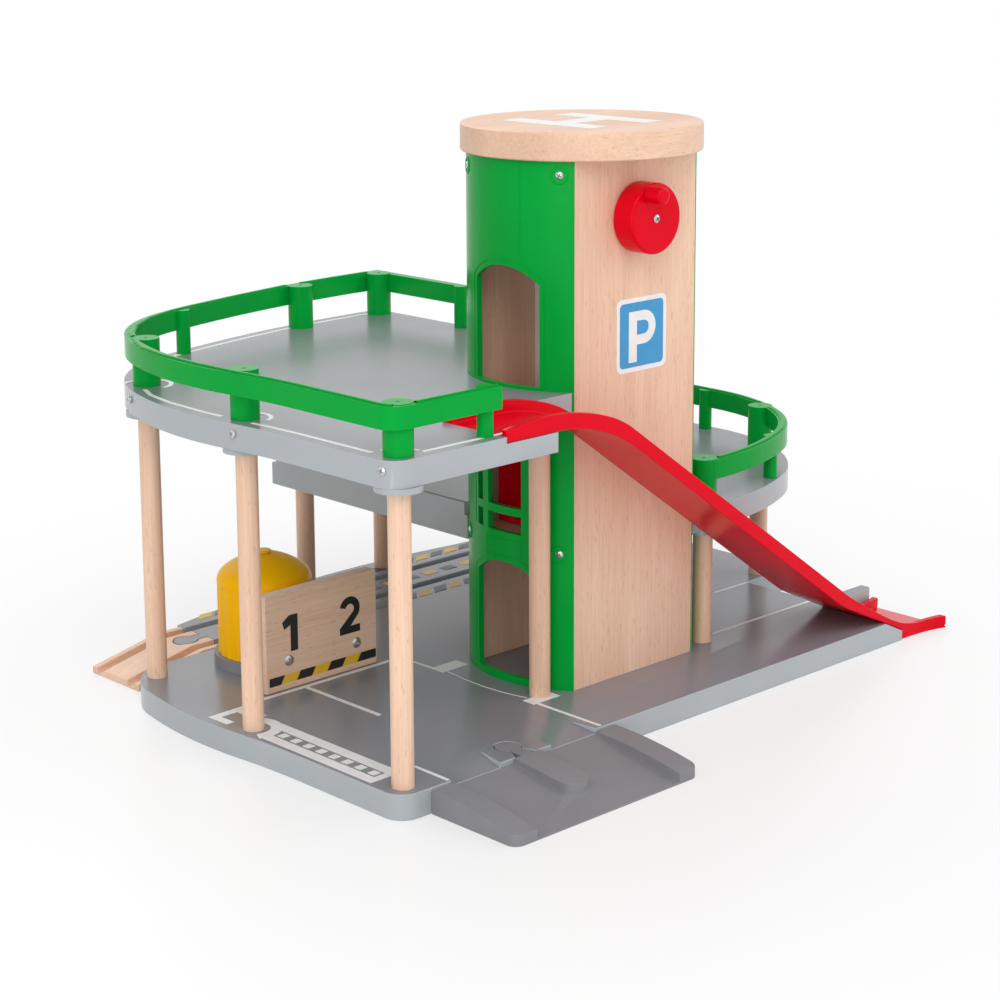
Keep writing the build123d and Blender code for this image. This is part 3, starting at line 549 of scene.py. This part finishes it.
# base: zebra band with its ring round a column, parking lines and lane lines
COLUMN_2 = (-182.0, 31.0)
ZEBRA_SIDES = [
    rectangle(-187, -181.6, -56, 19.0),
    rectangle(-174.9, -169, -56, 27.5),
    rectangle(-181.6, -174.9, -56, -52.0),
    ring_strip(arc(*COLUMN_2, 7.8, -118, 62, 20), arc(*COLUMN_2, 13.4, -118, 62, 20)),
]
BAY_CORNER = [
    (-188.2, 57.0),
    (-187.8, 43.5),
    (-183.5, 43.5),
    (-183.9, 53.0),
    (-174.5, 53.0),
    (-174.5, 43.0),
    (-167.5, 39.5),
    (-167.0, 57.5),
]
BAY_LINES = [rectangle(-167, -75, 57.0, 59.4), rectangle(-130.7, -128.3, 3.7, 57.0)]
LANE_LINES = [rectangle(70, 152, -26.2, -24.4), rectangle(123, 152, 19.0, 20.8)]
RUNG_HALF = 2.1
ZEBRA_RUNGS = [
    rectangle(-180.4, -176.1, y - RUNG_HALF, y + RUNG_HALF)
    for y in (-48.3, -39.4, -30.5, -21.7, -12.8, -3.9, 4.9, 13.8)
]
TOWER_CORNERS = [
    rectangle(-68.5, -51.5, 27.0, 35.8),
    rectangle(-68.6, -51.0, -36.0, -28.5),
    stripe([(-75.2, 57.6), (-68.0, 48.5), (-67.6, 35.5)], 1.8),
    stripe([(-66.2, -35.5), (-66.4, -76.6)], 1.8),
    stripe([(-160.6, -54.5), (-160.8, -76.6)], 1.8),
    stripe([(-65.7, 26.5), (-67.6, 12.0), (-68.1, -2.2), (-67.2, -14.0), (-64.5, -27.0)], 0.5),
]
base_white = ZEBRA_SIDES + [BAY_CORNER] + BAY_LINES + LANE_LINES + ZEBRA_RUNGS + TOWER_CORNERS
prints("base_marks", base_white, flat_plane(BASE_Z), WHITE_INK)

# warning marks along the railway track: yellow and dark bars in turn, slanted in the outer rows
HAZARD_START = -104
BAR_WIDE, BAR_SLANT = 9, 6
hazard = [[], []]
for row_low, row_high in ((126.0, 133.5), (178.0, 184.0)):
    for count, start in enumerate(range(HAZARD_START, 160, 11)):
        end = start + BAR_WIDE
        bar = [(start, row_low), (end, row_low), (end + BAR_SLANT, row_high), (start + BAR_SLANT, row_high)]
        hazard[count % 2].append(bar)
for count, start in enumerate(range(HAZARD_START, 168, 14)):
    hazard[count % 2].append(rectangle(start, start + BAR_WIDE, 153.0, 158.6))
prints("track_marks", hazard[0], flat_plane(BASE_Z), YELLOW_INK)
prints("track_bars", hazard[1], flat_plane(BASE_Z), DARK_INK)

# top deck: edge line, with a ring round each sleeve on the left
RIM = (
    [(-92, -77.0), (-180.5, -77.0)]
    + arc(-180.5, -67.0, 10.0, 270, 180, 6)[1:]
    + [(-190.5, -40), (-190.5, -10), (-191.3, 10), (-193, 30), (-194.0, 55), (-193.0, 82)]
    + [(-189.5, 102), (-184, 115), (-172, 136.5), (-159.5, 151.5), (-142, 164.5)]
    + [(-122, 173.4), (-106, 177.5), (-70, 185.0), (-34, 191.0), (0, 192.8), (37, 193.4)]
)
EDGE_IN = 6.2  # from the rim to the middle of the line
EDGE_WIDE = 2.2


def shifted(points, distance):
    """The line moved to its right by a distance."""
    moved = []
    count = len(points)
    for i in range(count):
        before = Vector(points[max(i - 1, 0)])
        along = (Vector(points[min(i + 1, count - 1)]) - before).normalized()
        moved.append((points[i][0] + along.y * distance, points[i][1] - along.x * distance))
    return moved


def clear_of(points, spots, radius):
    """The line's stretches that stay outside circles round the spots."""
    fine = []
    for first, last in zip(points, points[1:]):
        steps = max(1, int((Vector(last) - Vector(first)).length // 1.5))
        fine += [tuple(Vector(first).lerp(Vector(last), step / steps)) for step in range(steps)]
    stretches = [[]]
    for point in fine + [points[-1]]:
        if all((Vector(point) - Vector(spot)).length > radius for spot in spots):
            stretches[-1].append(point)
        elif stretches[-1]:
            stretches.append([])
    return [stretch for stretch in stretches if len(stretch) > 1]


RING_R = 11.4
RING_CLEAR = RING_R - 0.8  # the edge line ends here, on the ring's line
RING_SWEEPS = ((-82, 128), (-70, 72), (0, 90))  # degrees that each ring covers
RINGED = TOP_SLEEVES[: len(RING_SWEEPS)]
open_edge = clear_of(shifted(RIM, EDGE_IN), RINGED, RING_CLEAR)
edge = [stripe(stretch, EDGE_WIDE) for stretch in open_edge]
for (x, y), (first, last) in zip(RINGED, RING_SWEEPS):
    inner = arc(x, y, RING_R - EDGE_WIDE / 2, first, last, 20)
    outer = arc(x, y, RING_R + EDGE_WIDE / 2, first, last, 20)
    edge.append(ring_strip(inner, outer))
prints("top_edge_line", edge, flat_plane(TOP_Z), WHITE_INK)

# rounded ridges along the fences' rails
RAIL_MIDDLE = 3.3  # from the deck's rim to the middle of the rail
RIDGE_STEPS = ((3.0, 0.3), (2.2, 0.6), (1.2, 0.75))  # each step's width and height
RIDGE_SINK = 0.05  # of a ridge's foot in the rail
SLEEVE_RISE = 0.3  # of a sleeve's top over the rail
SLEEVE_CLEAR = 6.9  # from a sleeve's middle to the end of a ridge
MID_RIM = (
    arc(62, 129.6, 165.4, -90, -63.4, 8)
    + arc(85, 70, 102, -60, 0, 16)[1:]
    + arc(85, 87, 102, 0, 90, 24)
    + [(60, 190.9), (36, 192.2)]
)
for fence, path, spots in (
    ("top_fence", shifted([(-128, -77.0)] + RIM[1:-1] + [(30, 193.3)], RAIL_MIDDLE), TOP_SLEEVES),
    ("mid_fence", shifted(MID_RIM, -RAIL_MIDDLE), MID_SLEEVES),
):
    rail_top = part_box(fence)[1].z - SLEEVE_RISE * MM
    ridge_foot = flat_plane(rail_top - RIDGE_SINK * MM)
    ridges = []
    for stretch in clear_of(path, spots, SLEEVE_CLEAR):
        for wide, tall in RIDGE_STEPS:
            ridges.append(prism(mm_points(stripe(stretch, wide)), ridge_foot, tall * MM))
    merged(f"{fence}_ridge", ridges, GREEN, "garage")


# --------------------------------------------------------------------- screws
def level_circle(shape, radius, height, steps, middle=Vector((0, 0))):
    """Vertices evenly spaced on a level circle."""
    angles = [2 * math.pi * i / steps for i in range(steps)]
    return [
        shape.verts.new((middle.x + radius * math.cos(a), middle.y + radius * math.sin(a), height))
        for a in angles
    ]


def skin(shape, rings, steps):
    """Faces from ring to ring, each ring of so many vertices or one vertex on the axis."""
    for lower, upper in zip(rings, rings[1:]):
        for i in range(steps):
            j = (i + 1) % steps
            corners = [lower[i % len(lower)], lower[j % len(lower)]]
            corners += [upper[j % len(upper)], upper[i % len(upper)]]
            distinct = list(dict.fromkeys(corners))
            if len(distinct) > 2:
                shape.faces.new(distinct)


LATHE_STEPS = 28


def lathe(profile):
    """Closed mesh turned about Z from (radius, height) points, the ends on the axis."""
    shape = bmesh.new()
    rings = []
    for radius, height in profile:
        if radius:
            rings.append(level_circle(shape, radius, height, LATHE_STEPS))
        else:
            rings.append([shape.verts.new((0, 0, height))])
    skin(shape, rings, LATHE_STEPS)
    bmesh.ops.recalc_face_normals(shape, faces=shape.faces)
    return shape


def mesh_of(name, shape):
    """Mesh data from a shape, which is used up."""
    data = bpy.data.meshes.new(name)
    shape.to_mesh(data)
    shape.free()
    return data


# A head's profile in shares of its radius and heights in mm, and its cross in shares of the radius.
HEAD_PROFILE = ((0, 0.75), (0.45, 0.72), (0.8, 0.5), (1, 0.12), (1, -0.6), (0, -0.6))
CROSS_HALF_LONG, CROSS_HALF_WIDE = 0.62, 0.13
CROSS_TALL = 2 * MM


def screw_shape(radius):
    """Domed screw head with a cross recess."""
    collection = bpy.context.scene.collection.objects
    turned_head = lathe([(share * radius, height * MM) for share, height in HEAD_PROFILE])
    head = bpy.data.objects.new("screw_head", mesh_of("screw_head", turned_head))
    collection.link(head)
    half_long, half_wide = CROSS_HALF_LONG * radius, CROSS_HALF_WIDE * radius
    for half_u, half_v in ((half_long, half_wide), (half_wide, half_long)):
        bar = prism(rectangle(-half_u, half_u, -half_v, half_v), Matrix(), CROSS_TALL)
        cutter = bpy.data.objects.new("cross_bar", mesh_of("cross_bar", bar))
        collection.link(cutter)
        cut = head.modifiers.new("cut", "BOOLEAN")
        cut.operation = "DIFFERENCE"
        cut.object = cutter
        bpy.context.view_layer.update()
        evaluated = head.evaluated_get(bpy.context.evaluated_depsgraph_get())
        finished = bpy.data.meshes.new_from_object(evaluated)
        head.modifiers.clear()
        head.data = finished
        bpy.data.objects.remove(cutter)
    result = head.data
    bpy.data.objects.remove(head)
    smooth(result, 30)
    return result


SCREW_R = 2.7
SMALL_SCREW_R = 1.9
SCREWS = {radius: screw_shape(radius * MM) for radius in (SCREW_R, SMALL_SCREW_R)}


def facing(place, out):
    """Matrix that stands a shape made about Z on a place, facing out."""
    stand = Vector(out).to_track_quat("Z", "Y").to_matrix().to_4x4()
    return Matrix.Translation(Vector(place) * MM) @ stand


def screw(name, place, out, turn, body="garage", radius=SCREW_R):
    """A screw head at a place, facing out, its cross turned by so many degrees."""
    data = SCREWS[radius].copy()
    data.transform(facing(place, out) @ Matrix.Rotation(math.radians(turn), 4, "Z"))
    return piece(name, data, STEEL, body)


def turned(name, profile, place, out, material):
    """A shape turned about its own axis, at a place and facing out."""
    shape = lathe([(radius * MM, height * MM) for radius, height in profile])
    shape.transform(facing(place, out))
    return merged(name, [shape], material, "garage")


CUP = [(0, 0.05), (3.2, 0.05), (3.3, 0.4), (3.9, 0.4), (4.2, 0.0), (4.2, -0.5), (0, -0.5)]
SCREW_ANGLE = 33.4  # degrees from the tower's X axis, to the front and to the back
for side, side_name in ((-1, "left"), (1, "right")):
    for height, level in ((258.0, "high"), (79.0, "low")):
        for tilt, where in ((-1, "front"), (1, "back")):
            across = math.radians(SCREW_ANGLE) * tilt
            out = (side * math.cos(across), math.sin(across), 0)
            place = (out[0] * TOWER_R / MM, out[1] * TOWER_R / MM, height)
            mark = f"{side_name}_{level}_{where}"
            turned(f"shell_cup_{mark}", CUP, place, out, GREEN)
            screw(f"shell_screw_{mark}", place, out, 20 * tilt + height, radius=SMALL_SCREW_R)
screw("wall_screw_1", (-136.5, WALL_FACE_Y / MM, 26.2), FORWARD, 25)
screw("wall_screw_2", (-94.2, WALL_FACE_Y / MM, 25.2), FORWARD, 60)
KNOB_LOW, KNOB_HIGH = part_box("crank_knob")
KNOB_MIDDLE = (KNOB_LOW.z + KNOB_HIGH.z) / 2
KNOB_FACE = (0, KNOB_LOW.y / MM, KNOB_MIDDLE / MM)
screw("crank_screw", KNOB_FACE, FORWARD, 35, body="crank", radius=SMALL_SCREW_R)
DECK_SCREW_Z = 152.4
for number, x, y, out, turn in (
    (1, -184.6, 116.6, (-0.93, 0.37, 0), 10),
    (2, -193.1, 26.2, (-0.99, 0.1, 0), 40),
    (3, -190.2, -70.0, (-0.98, -0.18, 0), 70),
):
    screw(f"deck_screw_{number}", (x, y, DECK_SCREW_Z), out, turn, radius=SMALL_SCREW_R)


# ------------------------------------------------- thin trim on the tower's shells
TRIM_SINK = 0.4  # of a line's foot in the shell
DOOR_LINE = (0.5, 0.22)  # width and height of the lines round the doorways
SEAM_LINE = (0.45, 0.2)  # width and height of the other lines
DOOR_Y, DOOR_HALF, DOOR_SPRING, DOOR_RISE = -2.0, 20.0, 48.3, 7.9
TRIM_OUT = 3.2  # from a doorway's edge to the line round it
ARCH_R = (DOOR_HALF**2 + DOOR_RISE**2) / (2 * DOOR_RISE)


def wrapped(points, side, width, height):
    """Thin raised line on a shell's round face through (y, z) points in mm."""
    shape = bmesh.new()
    outline = stripe(points, width)
    foot, crest = TOWER_R / MM - TRIM_SINK, TOWER_R / MM + height
    stations = []
    for i in range(len(points)):
        near, far = outline[i], outline[-1 - i]
        corners = []
        for (y, z), radius in ((near, foot), (far, foot), (far, crest), (near, crest)):
            angle = y * MM / TOWER_R
            spot = Vector((side * radius * math.cos(angle), radius * math.sin(angle), z)) * MM
            corners.append(shape.verts.new(spot))
        stations.append(corners)
    skin(shape, stations, 4)
    shape.faces.new(stations[0])
    shape.faces.new(stations[-1][::-1])
    bmesh.ops.recalc_face_normals(shape, faces=shape.faces)
    return shape


def door_line(sill):
    """Line round a doorway, a little outside its edge."""
    centre = sill + DOOR_SPRING + DOOR_RISE - ARCH_R
    reach = DOOR_HALF + TRIM_OUT
    turn = math.degrees(math.acos(reach / (ARCH_R + TRIM_OUT)))
    over = arc(DOOR_Y, centre, ARCH_R + TRIM_OUT, 180 - turn, turn, 24)
    return [(DOOR_Y - reach, sill)] + over + [(DOOR_Y + reach, sill)]


def straight(first, last, steps):
    """Points evenly spaced from first to last."""
    return [
        tuple(start + (end - start) * i / steps for start, end in zip(first, last))
        for i in range(steps + 1)
    ]


GROUND_SILL, MID_FLOOR, TOP_FLOOR = 15.5, 84.5, 157.0
SHELL_SILLS = {
    -1: (GROUND_SILL, MID_FLOOR + 1.8, TOP_FLOOR + 1.5),
    1: (GROUND_SILL, MID_FLOOR + 1.5, TOP_FLOOR + 1.8),
}
SEAM_Y, SEAM_BACK_Y = -12.6, 10.0
FRAME_LOW, FRAME_HIGH = 73.9, 82.5  # small frame between the ground and middle doorways
for side, side_name in ((-1, "left"), (1, "right")):
    lines = [wrapped(door_line(sill), side, *DOOR_LINE) for sill in SHELL_SILLS[side]]
    for first, last, steps in (
        ((SEAM_Y, 219.6), (SEAM_Y, 263.5), 4),
        ((SEAM_Y, FRAME_LOW), (SEAM_Y, FRAME_HIGH), 4),
        ((SEAM_BACK_Y, FRAME_LOW), (SEAM_BACK_Y, FRAME_HIGH), 4),
        ((SEAM_Y, FRAME_LOW), (SEAM_BACK_Y, FRAME_LOW), 8),
        ((SEAM_Y, FRAME_HIGH), (SEAM_BACK_Y, FRAME_HIGH), 8),
    ):
        lines.append(wrapped(straight(first, last, steps), side, *SEAM_LINE))
    merged(f"shell_trim_{side_name}", lines, GREEN, "garage")


# ------------------------------------------------------------------- fluted tank
PANELS, PANEL_STEPS = 24, 10  # panels round the tank, and points across each
PANEL_DEPTH = 0.55
PANEL_HALF, PANEL_FADE = 0.86, 0.12  # shares of half a panel's pitch: its edge, and the slope inside it
ARCH_TOP, ARCH_DROP, ARCH_FADE = 53.6, 2.6, 0.9  # a panel's top at its middle, its fall and its slope
TANK_INSET = 0.3  # from the box round the tank to the ribs between the panels
WALL_TOP, WALL_STEPS = 55.0, 48
DOME = [(23.3, 55.4), (22.9, 57.0), (22.0, 58.4), (20.4, 60.0), (17.8, 61.9), (15.0, 63.5)]
DOME += [(11.6, 65.1), (8.0, 66.5), (5.0, 67.2), (3.4, 67.5)]


def faded(inside, distance):
    """From 0 at an edge to 1 at that distance inside it."""
    return min(1.0, max(0.0, inside / distance))


def tank():
    """Yellow tank: upright recessed panels with arched tops under a smooth dome."""
    low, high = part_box("tank_body")
    middle = (low + high) / 2
    radius = (high.x - low.x) / 2 - TANK_INSET * MM
    foot = low.z / MM
    steps = PANELS * PANEL_STEPS
    shape = bmesh.new()
    rings = []
    for stage in range(WALL_STEPS + 1):
        level = foot + (WALL_TOP - foot) * stage / WALL_STEPS
        ring = []
        for i in range(steps):
            across = abs((i % PANEL_STEPS) / PANEL_STEPS * 2 - 1)
            arch_top = ARCH_TOP - ARCH_DROP * across**2
            share = faded(PANEL_HALF - across, PANEL_FADE) * faded(arch_top - level, ARCH_FADE)
            reach = radius - PANEL_DEPTH * MM * share
            angle = 2 * math.pi * i / steps
            x = middle.x + reach * math.cos(angle)
            y = middle.y + reach * math.sin(angle)
            ring.append(shape.verts.new((x, y, level * MM)))
        rings.append(ring)
    for wide, level in DOME:
        rings.append(level_circle(shape, wide * MM, level * MM, steps, middle))
    skin(shape, rings, steps)
    shape.faces.new(rings[-1])
    shape.faces.new(rings[0][::-1])
    bmesh.ops.recalc_face_normals(shape, faces=shape.faces)
    made = merged("tank_fluted", [shape], YELLOW, "garage")
    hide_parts("tank_body")


tank()

# plugs over the roof's screws, and painted shade on the fence sleeves: a black disc in each sleeve's top
# for the dark inside of its hole
PLUG = [(0, 0.12), (2.0, 0.12), (2.2, 0.0), (2.2, -0.3), (0, -0.3)]
for x, y in ((-28, -31.5), (28, -31.5), (-28, 31.5), (28, 31.5)):
    plug_name = f"roof_plug_{x}_{y:.0f}".replace("-", "m")
    turned(plug_name, PLUG, (x, y, ROOF_Z / MM), UP, PLUG_WOOD)
# painted shade: a thin black disc that stands for the shadowed inside of the hole in each sleeve's top
HOLE_SHADE_DISC = [(0, 0.1), (0.8, 0.1), (0.9, 0.0), (0.9, -0.2), (0, -0.2)]
for fence, spots in (("top_fence", TOP_SLEEVES), ("mid_fence", MID_SLEEVES)):
    sleeve_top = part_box(fence)[1].z / MM
    for index, (x, y) in enumerate(spots):
        spot = (x, y, sleeve_top)
        turned(f"{fence}_pin_{index}", HOLE_SHADE_DISC, spot, UP, BLACK_INK_AND_HOLE_SHADE)


# ----------------------------------------------------- stage, light and camera
FLOOR_R, FLOOR_SIDES = 4.0, 48
SHADOW_KEPT, SHADOW_GONE = 0.16, 0.55  # distances from the origin, in metres


def backdrop():
    """White floor that keeps the object's shadow near it and is plain white further out."""
    shape = bmesh.new()
    shape.faces.new(level_circle(shape, FLOOR_R, 0, FLOOR_SIDES))
    data = mesh_of("floor", shape)
    floor = bpy.data.objects.new("floor", data)
    bpy.context.scene.collection.objects.link(floor)
    look = Shader("white_floor")
    look.bsdf.inputs["Base Color"].default_value = (0.86, 0.86, 0.86, 1)
    look.bsdf.inputs["Roughness"].default_value = 0.35
    look.bsdf.inputs["Specular IOR Level"].default_value = 0.35
    reach = look.node("ShaderNodeVectorMath", operation="LENGTH")
    look.join(look.coordinates, reach.inputs[0])
    fade = look.node("ShaderNodeMapRange", interpolation_type="SMOOTHSTEP")
    fade.inputs["From Min"].default_value = SHADOW_KEPT
    fade.inputs["From Max"].default_value = SHADOW_GONE
    fade.inputs["To Min"].default_value = 0.5
    look.join(reach.outputs["Value"], fade.inputs["Value"])
    seen = look.node("ShaderNodeMath", operation="MULTIPLY")
    look.join(seen_directly(look.tree), seen.inputs[0])
    look.join(fade.outputs["Result"], seen.inputs[1])
    glow = look.node("ShaderNodeEmission")
    glow.inputs["Color"].default_value = (1, 1, 1, 1)
    blend = look.node("ShaderNodeMixShader")
    look.join(seen.outputs[0], blend.inputs[0])
    look.join(look.bsdf.outputs[0], blend.inputs[1])
    look.join(glow.outputs[0], blend.inputs[2])
    look.join(blend.outputs[0], look.tree.nodes["Material Output"].inputs["Surface"])
    data.materials.append(look.material)


def seen_directly(tree):
    """One for rays from the camera and for those by way of gloss or glass."""
    rays = tree.nodes.new("ShaderNodeLightPath")
    total = rays.outputs["Is Camera Ray"]
    for kind in ("Is Glossy Ray", "Is Transmission Ray"):
        most = tree.nodes.new("ShaderNodeMath")
        most.operation = "MAXIMUM"
        tree.links.new(total, most.inputs[0])
        tree.links.new(rays.outputs[kind], most.inputs[1])
        total = most.outputs[0]
    return total


def world_light(strength):
    world = bpy.data.worlds.new("studio")
    bpy.context.scene.world = world
    world.use_nodes = True
    tree = world.node_tree
    tree.nodes.clear()
    room = tree.nodes.new("ShaderNodeBackground")
    room.inputs["Color"].default_value = (1, 1, 1, 1)
    room.inputs["Strength"].default_value = strength
    white = tree.nodes.new("ShaderNodeBackground")
    white.inputs["Color"].default_value = (1, 1, 1, 1)
    blend = tree.nodes.new("ShaderNodeMixShader")
    output = tree.nodes.new("ShaderNodeOutputWorld")
    tree.links.new(seen_directly(tree), blend.inputs[0])
    tree.links.new(room.outputs[0], blend.inputs[1])
    tree.links.new(white.outputs[0], blend.inputs[2])
    tree.links.new(blend.outputs[0], output.inputs["Surface"])


def softbox(name, place, target, size, power):
    data = bpy.data.lights.new(name, "AREA")
    data.shape = "RECTANGLE"
    data.size, data.size_y = size
    data.energy = power
    lamp = bpy.data.objects.new(name, data)
    bpy.context.scene.collection.objects.link(lamp)
    lamp.location = place
    lamp.rotation_mode = "QUATERNION"
    lamp.rotation_quaternion = (Vector(target) - Vector(place)).to_track_quat("-Z", "Y")


# Fitted to the photograph from the base, decks and tower: degrees, metres, and mm for the lens.
AZIMUTH, PITCH, ROLL = -42.570, 11.258, -0.568
CAMERA_PLACE = (-0.79351, -0.76449, 0.38592)
LENS, SENSOR = 83.18, 36.0
SHIFT_X, SHIFT_Y = 0.0574, -0.15


def camera():
    """Camera that sees the object as the photograph does."""
    azimuth, pitch, roll = math.radians(AZIMUTH), math.radians(PITCH), math.radians(ROLL)
    back = Vector(
        (
            math.sin(azimuth) * math.cos(pitch),
            -math.cos(azimuth) * math.cos(pitch),
            math.sin(pitch),
        )
    )
    right = Vector((math.cos(azimuth), math.sin(azimuth), 0))
    up = back.cross(right)
    turned_right = right * math.cos(roll) + up * math.sin(roll)
    turned_up = up * math.cos(roll) - right * math.sin(roll)
    data = bpy.data.cameras.new("camera")
    data.sensor_width = SENSOR
    data.lens = LENS
    data.shift_x = SHIFT_X
    data.shift_y = SHIFT_Y
    data.clip_start = 0.05
    data.clip_end = 20.0
    made = bpy.data.objects.new("camera", data)
    bpy.context.scene.collection.objects.link(made)
    made.matrix_world = Matrix(
        (
            (turned_right.x, turned_up.x, back.x, CAMERA_PLACE[0]),
            (turned_right.y, turned_up.y, back.y, CAMERA_PLACE[1]),
            (turned_right.z, turned_up.z, back.z, CAMERA_PLACE[2]),
            (0, 0, 0, 1),
        )
    )
    bpy.context.scene.camera = made


backdrop()
world_light(0.62)
softbox("key", (-0.9, -1.0, 1.4), (0, 0, 0.1), (1.2, 1.2), 13)
softbox("low", (-1.6, -0.9, 0.35), (-0.1, 0, 0.08), (1.2, 0.6), 6)
softbox("fill", (1.3, -0.9, 1.0), (0, 0, 0.1), (1.4, 1.4), 8)
softbox("rim", (0.3, 1.4, 1.3), (0, 0, 0.15), (1.4, 1.0), 9)
camera()
bpy.context.scene.view_settings.view_transform = "Standard"
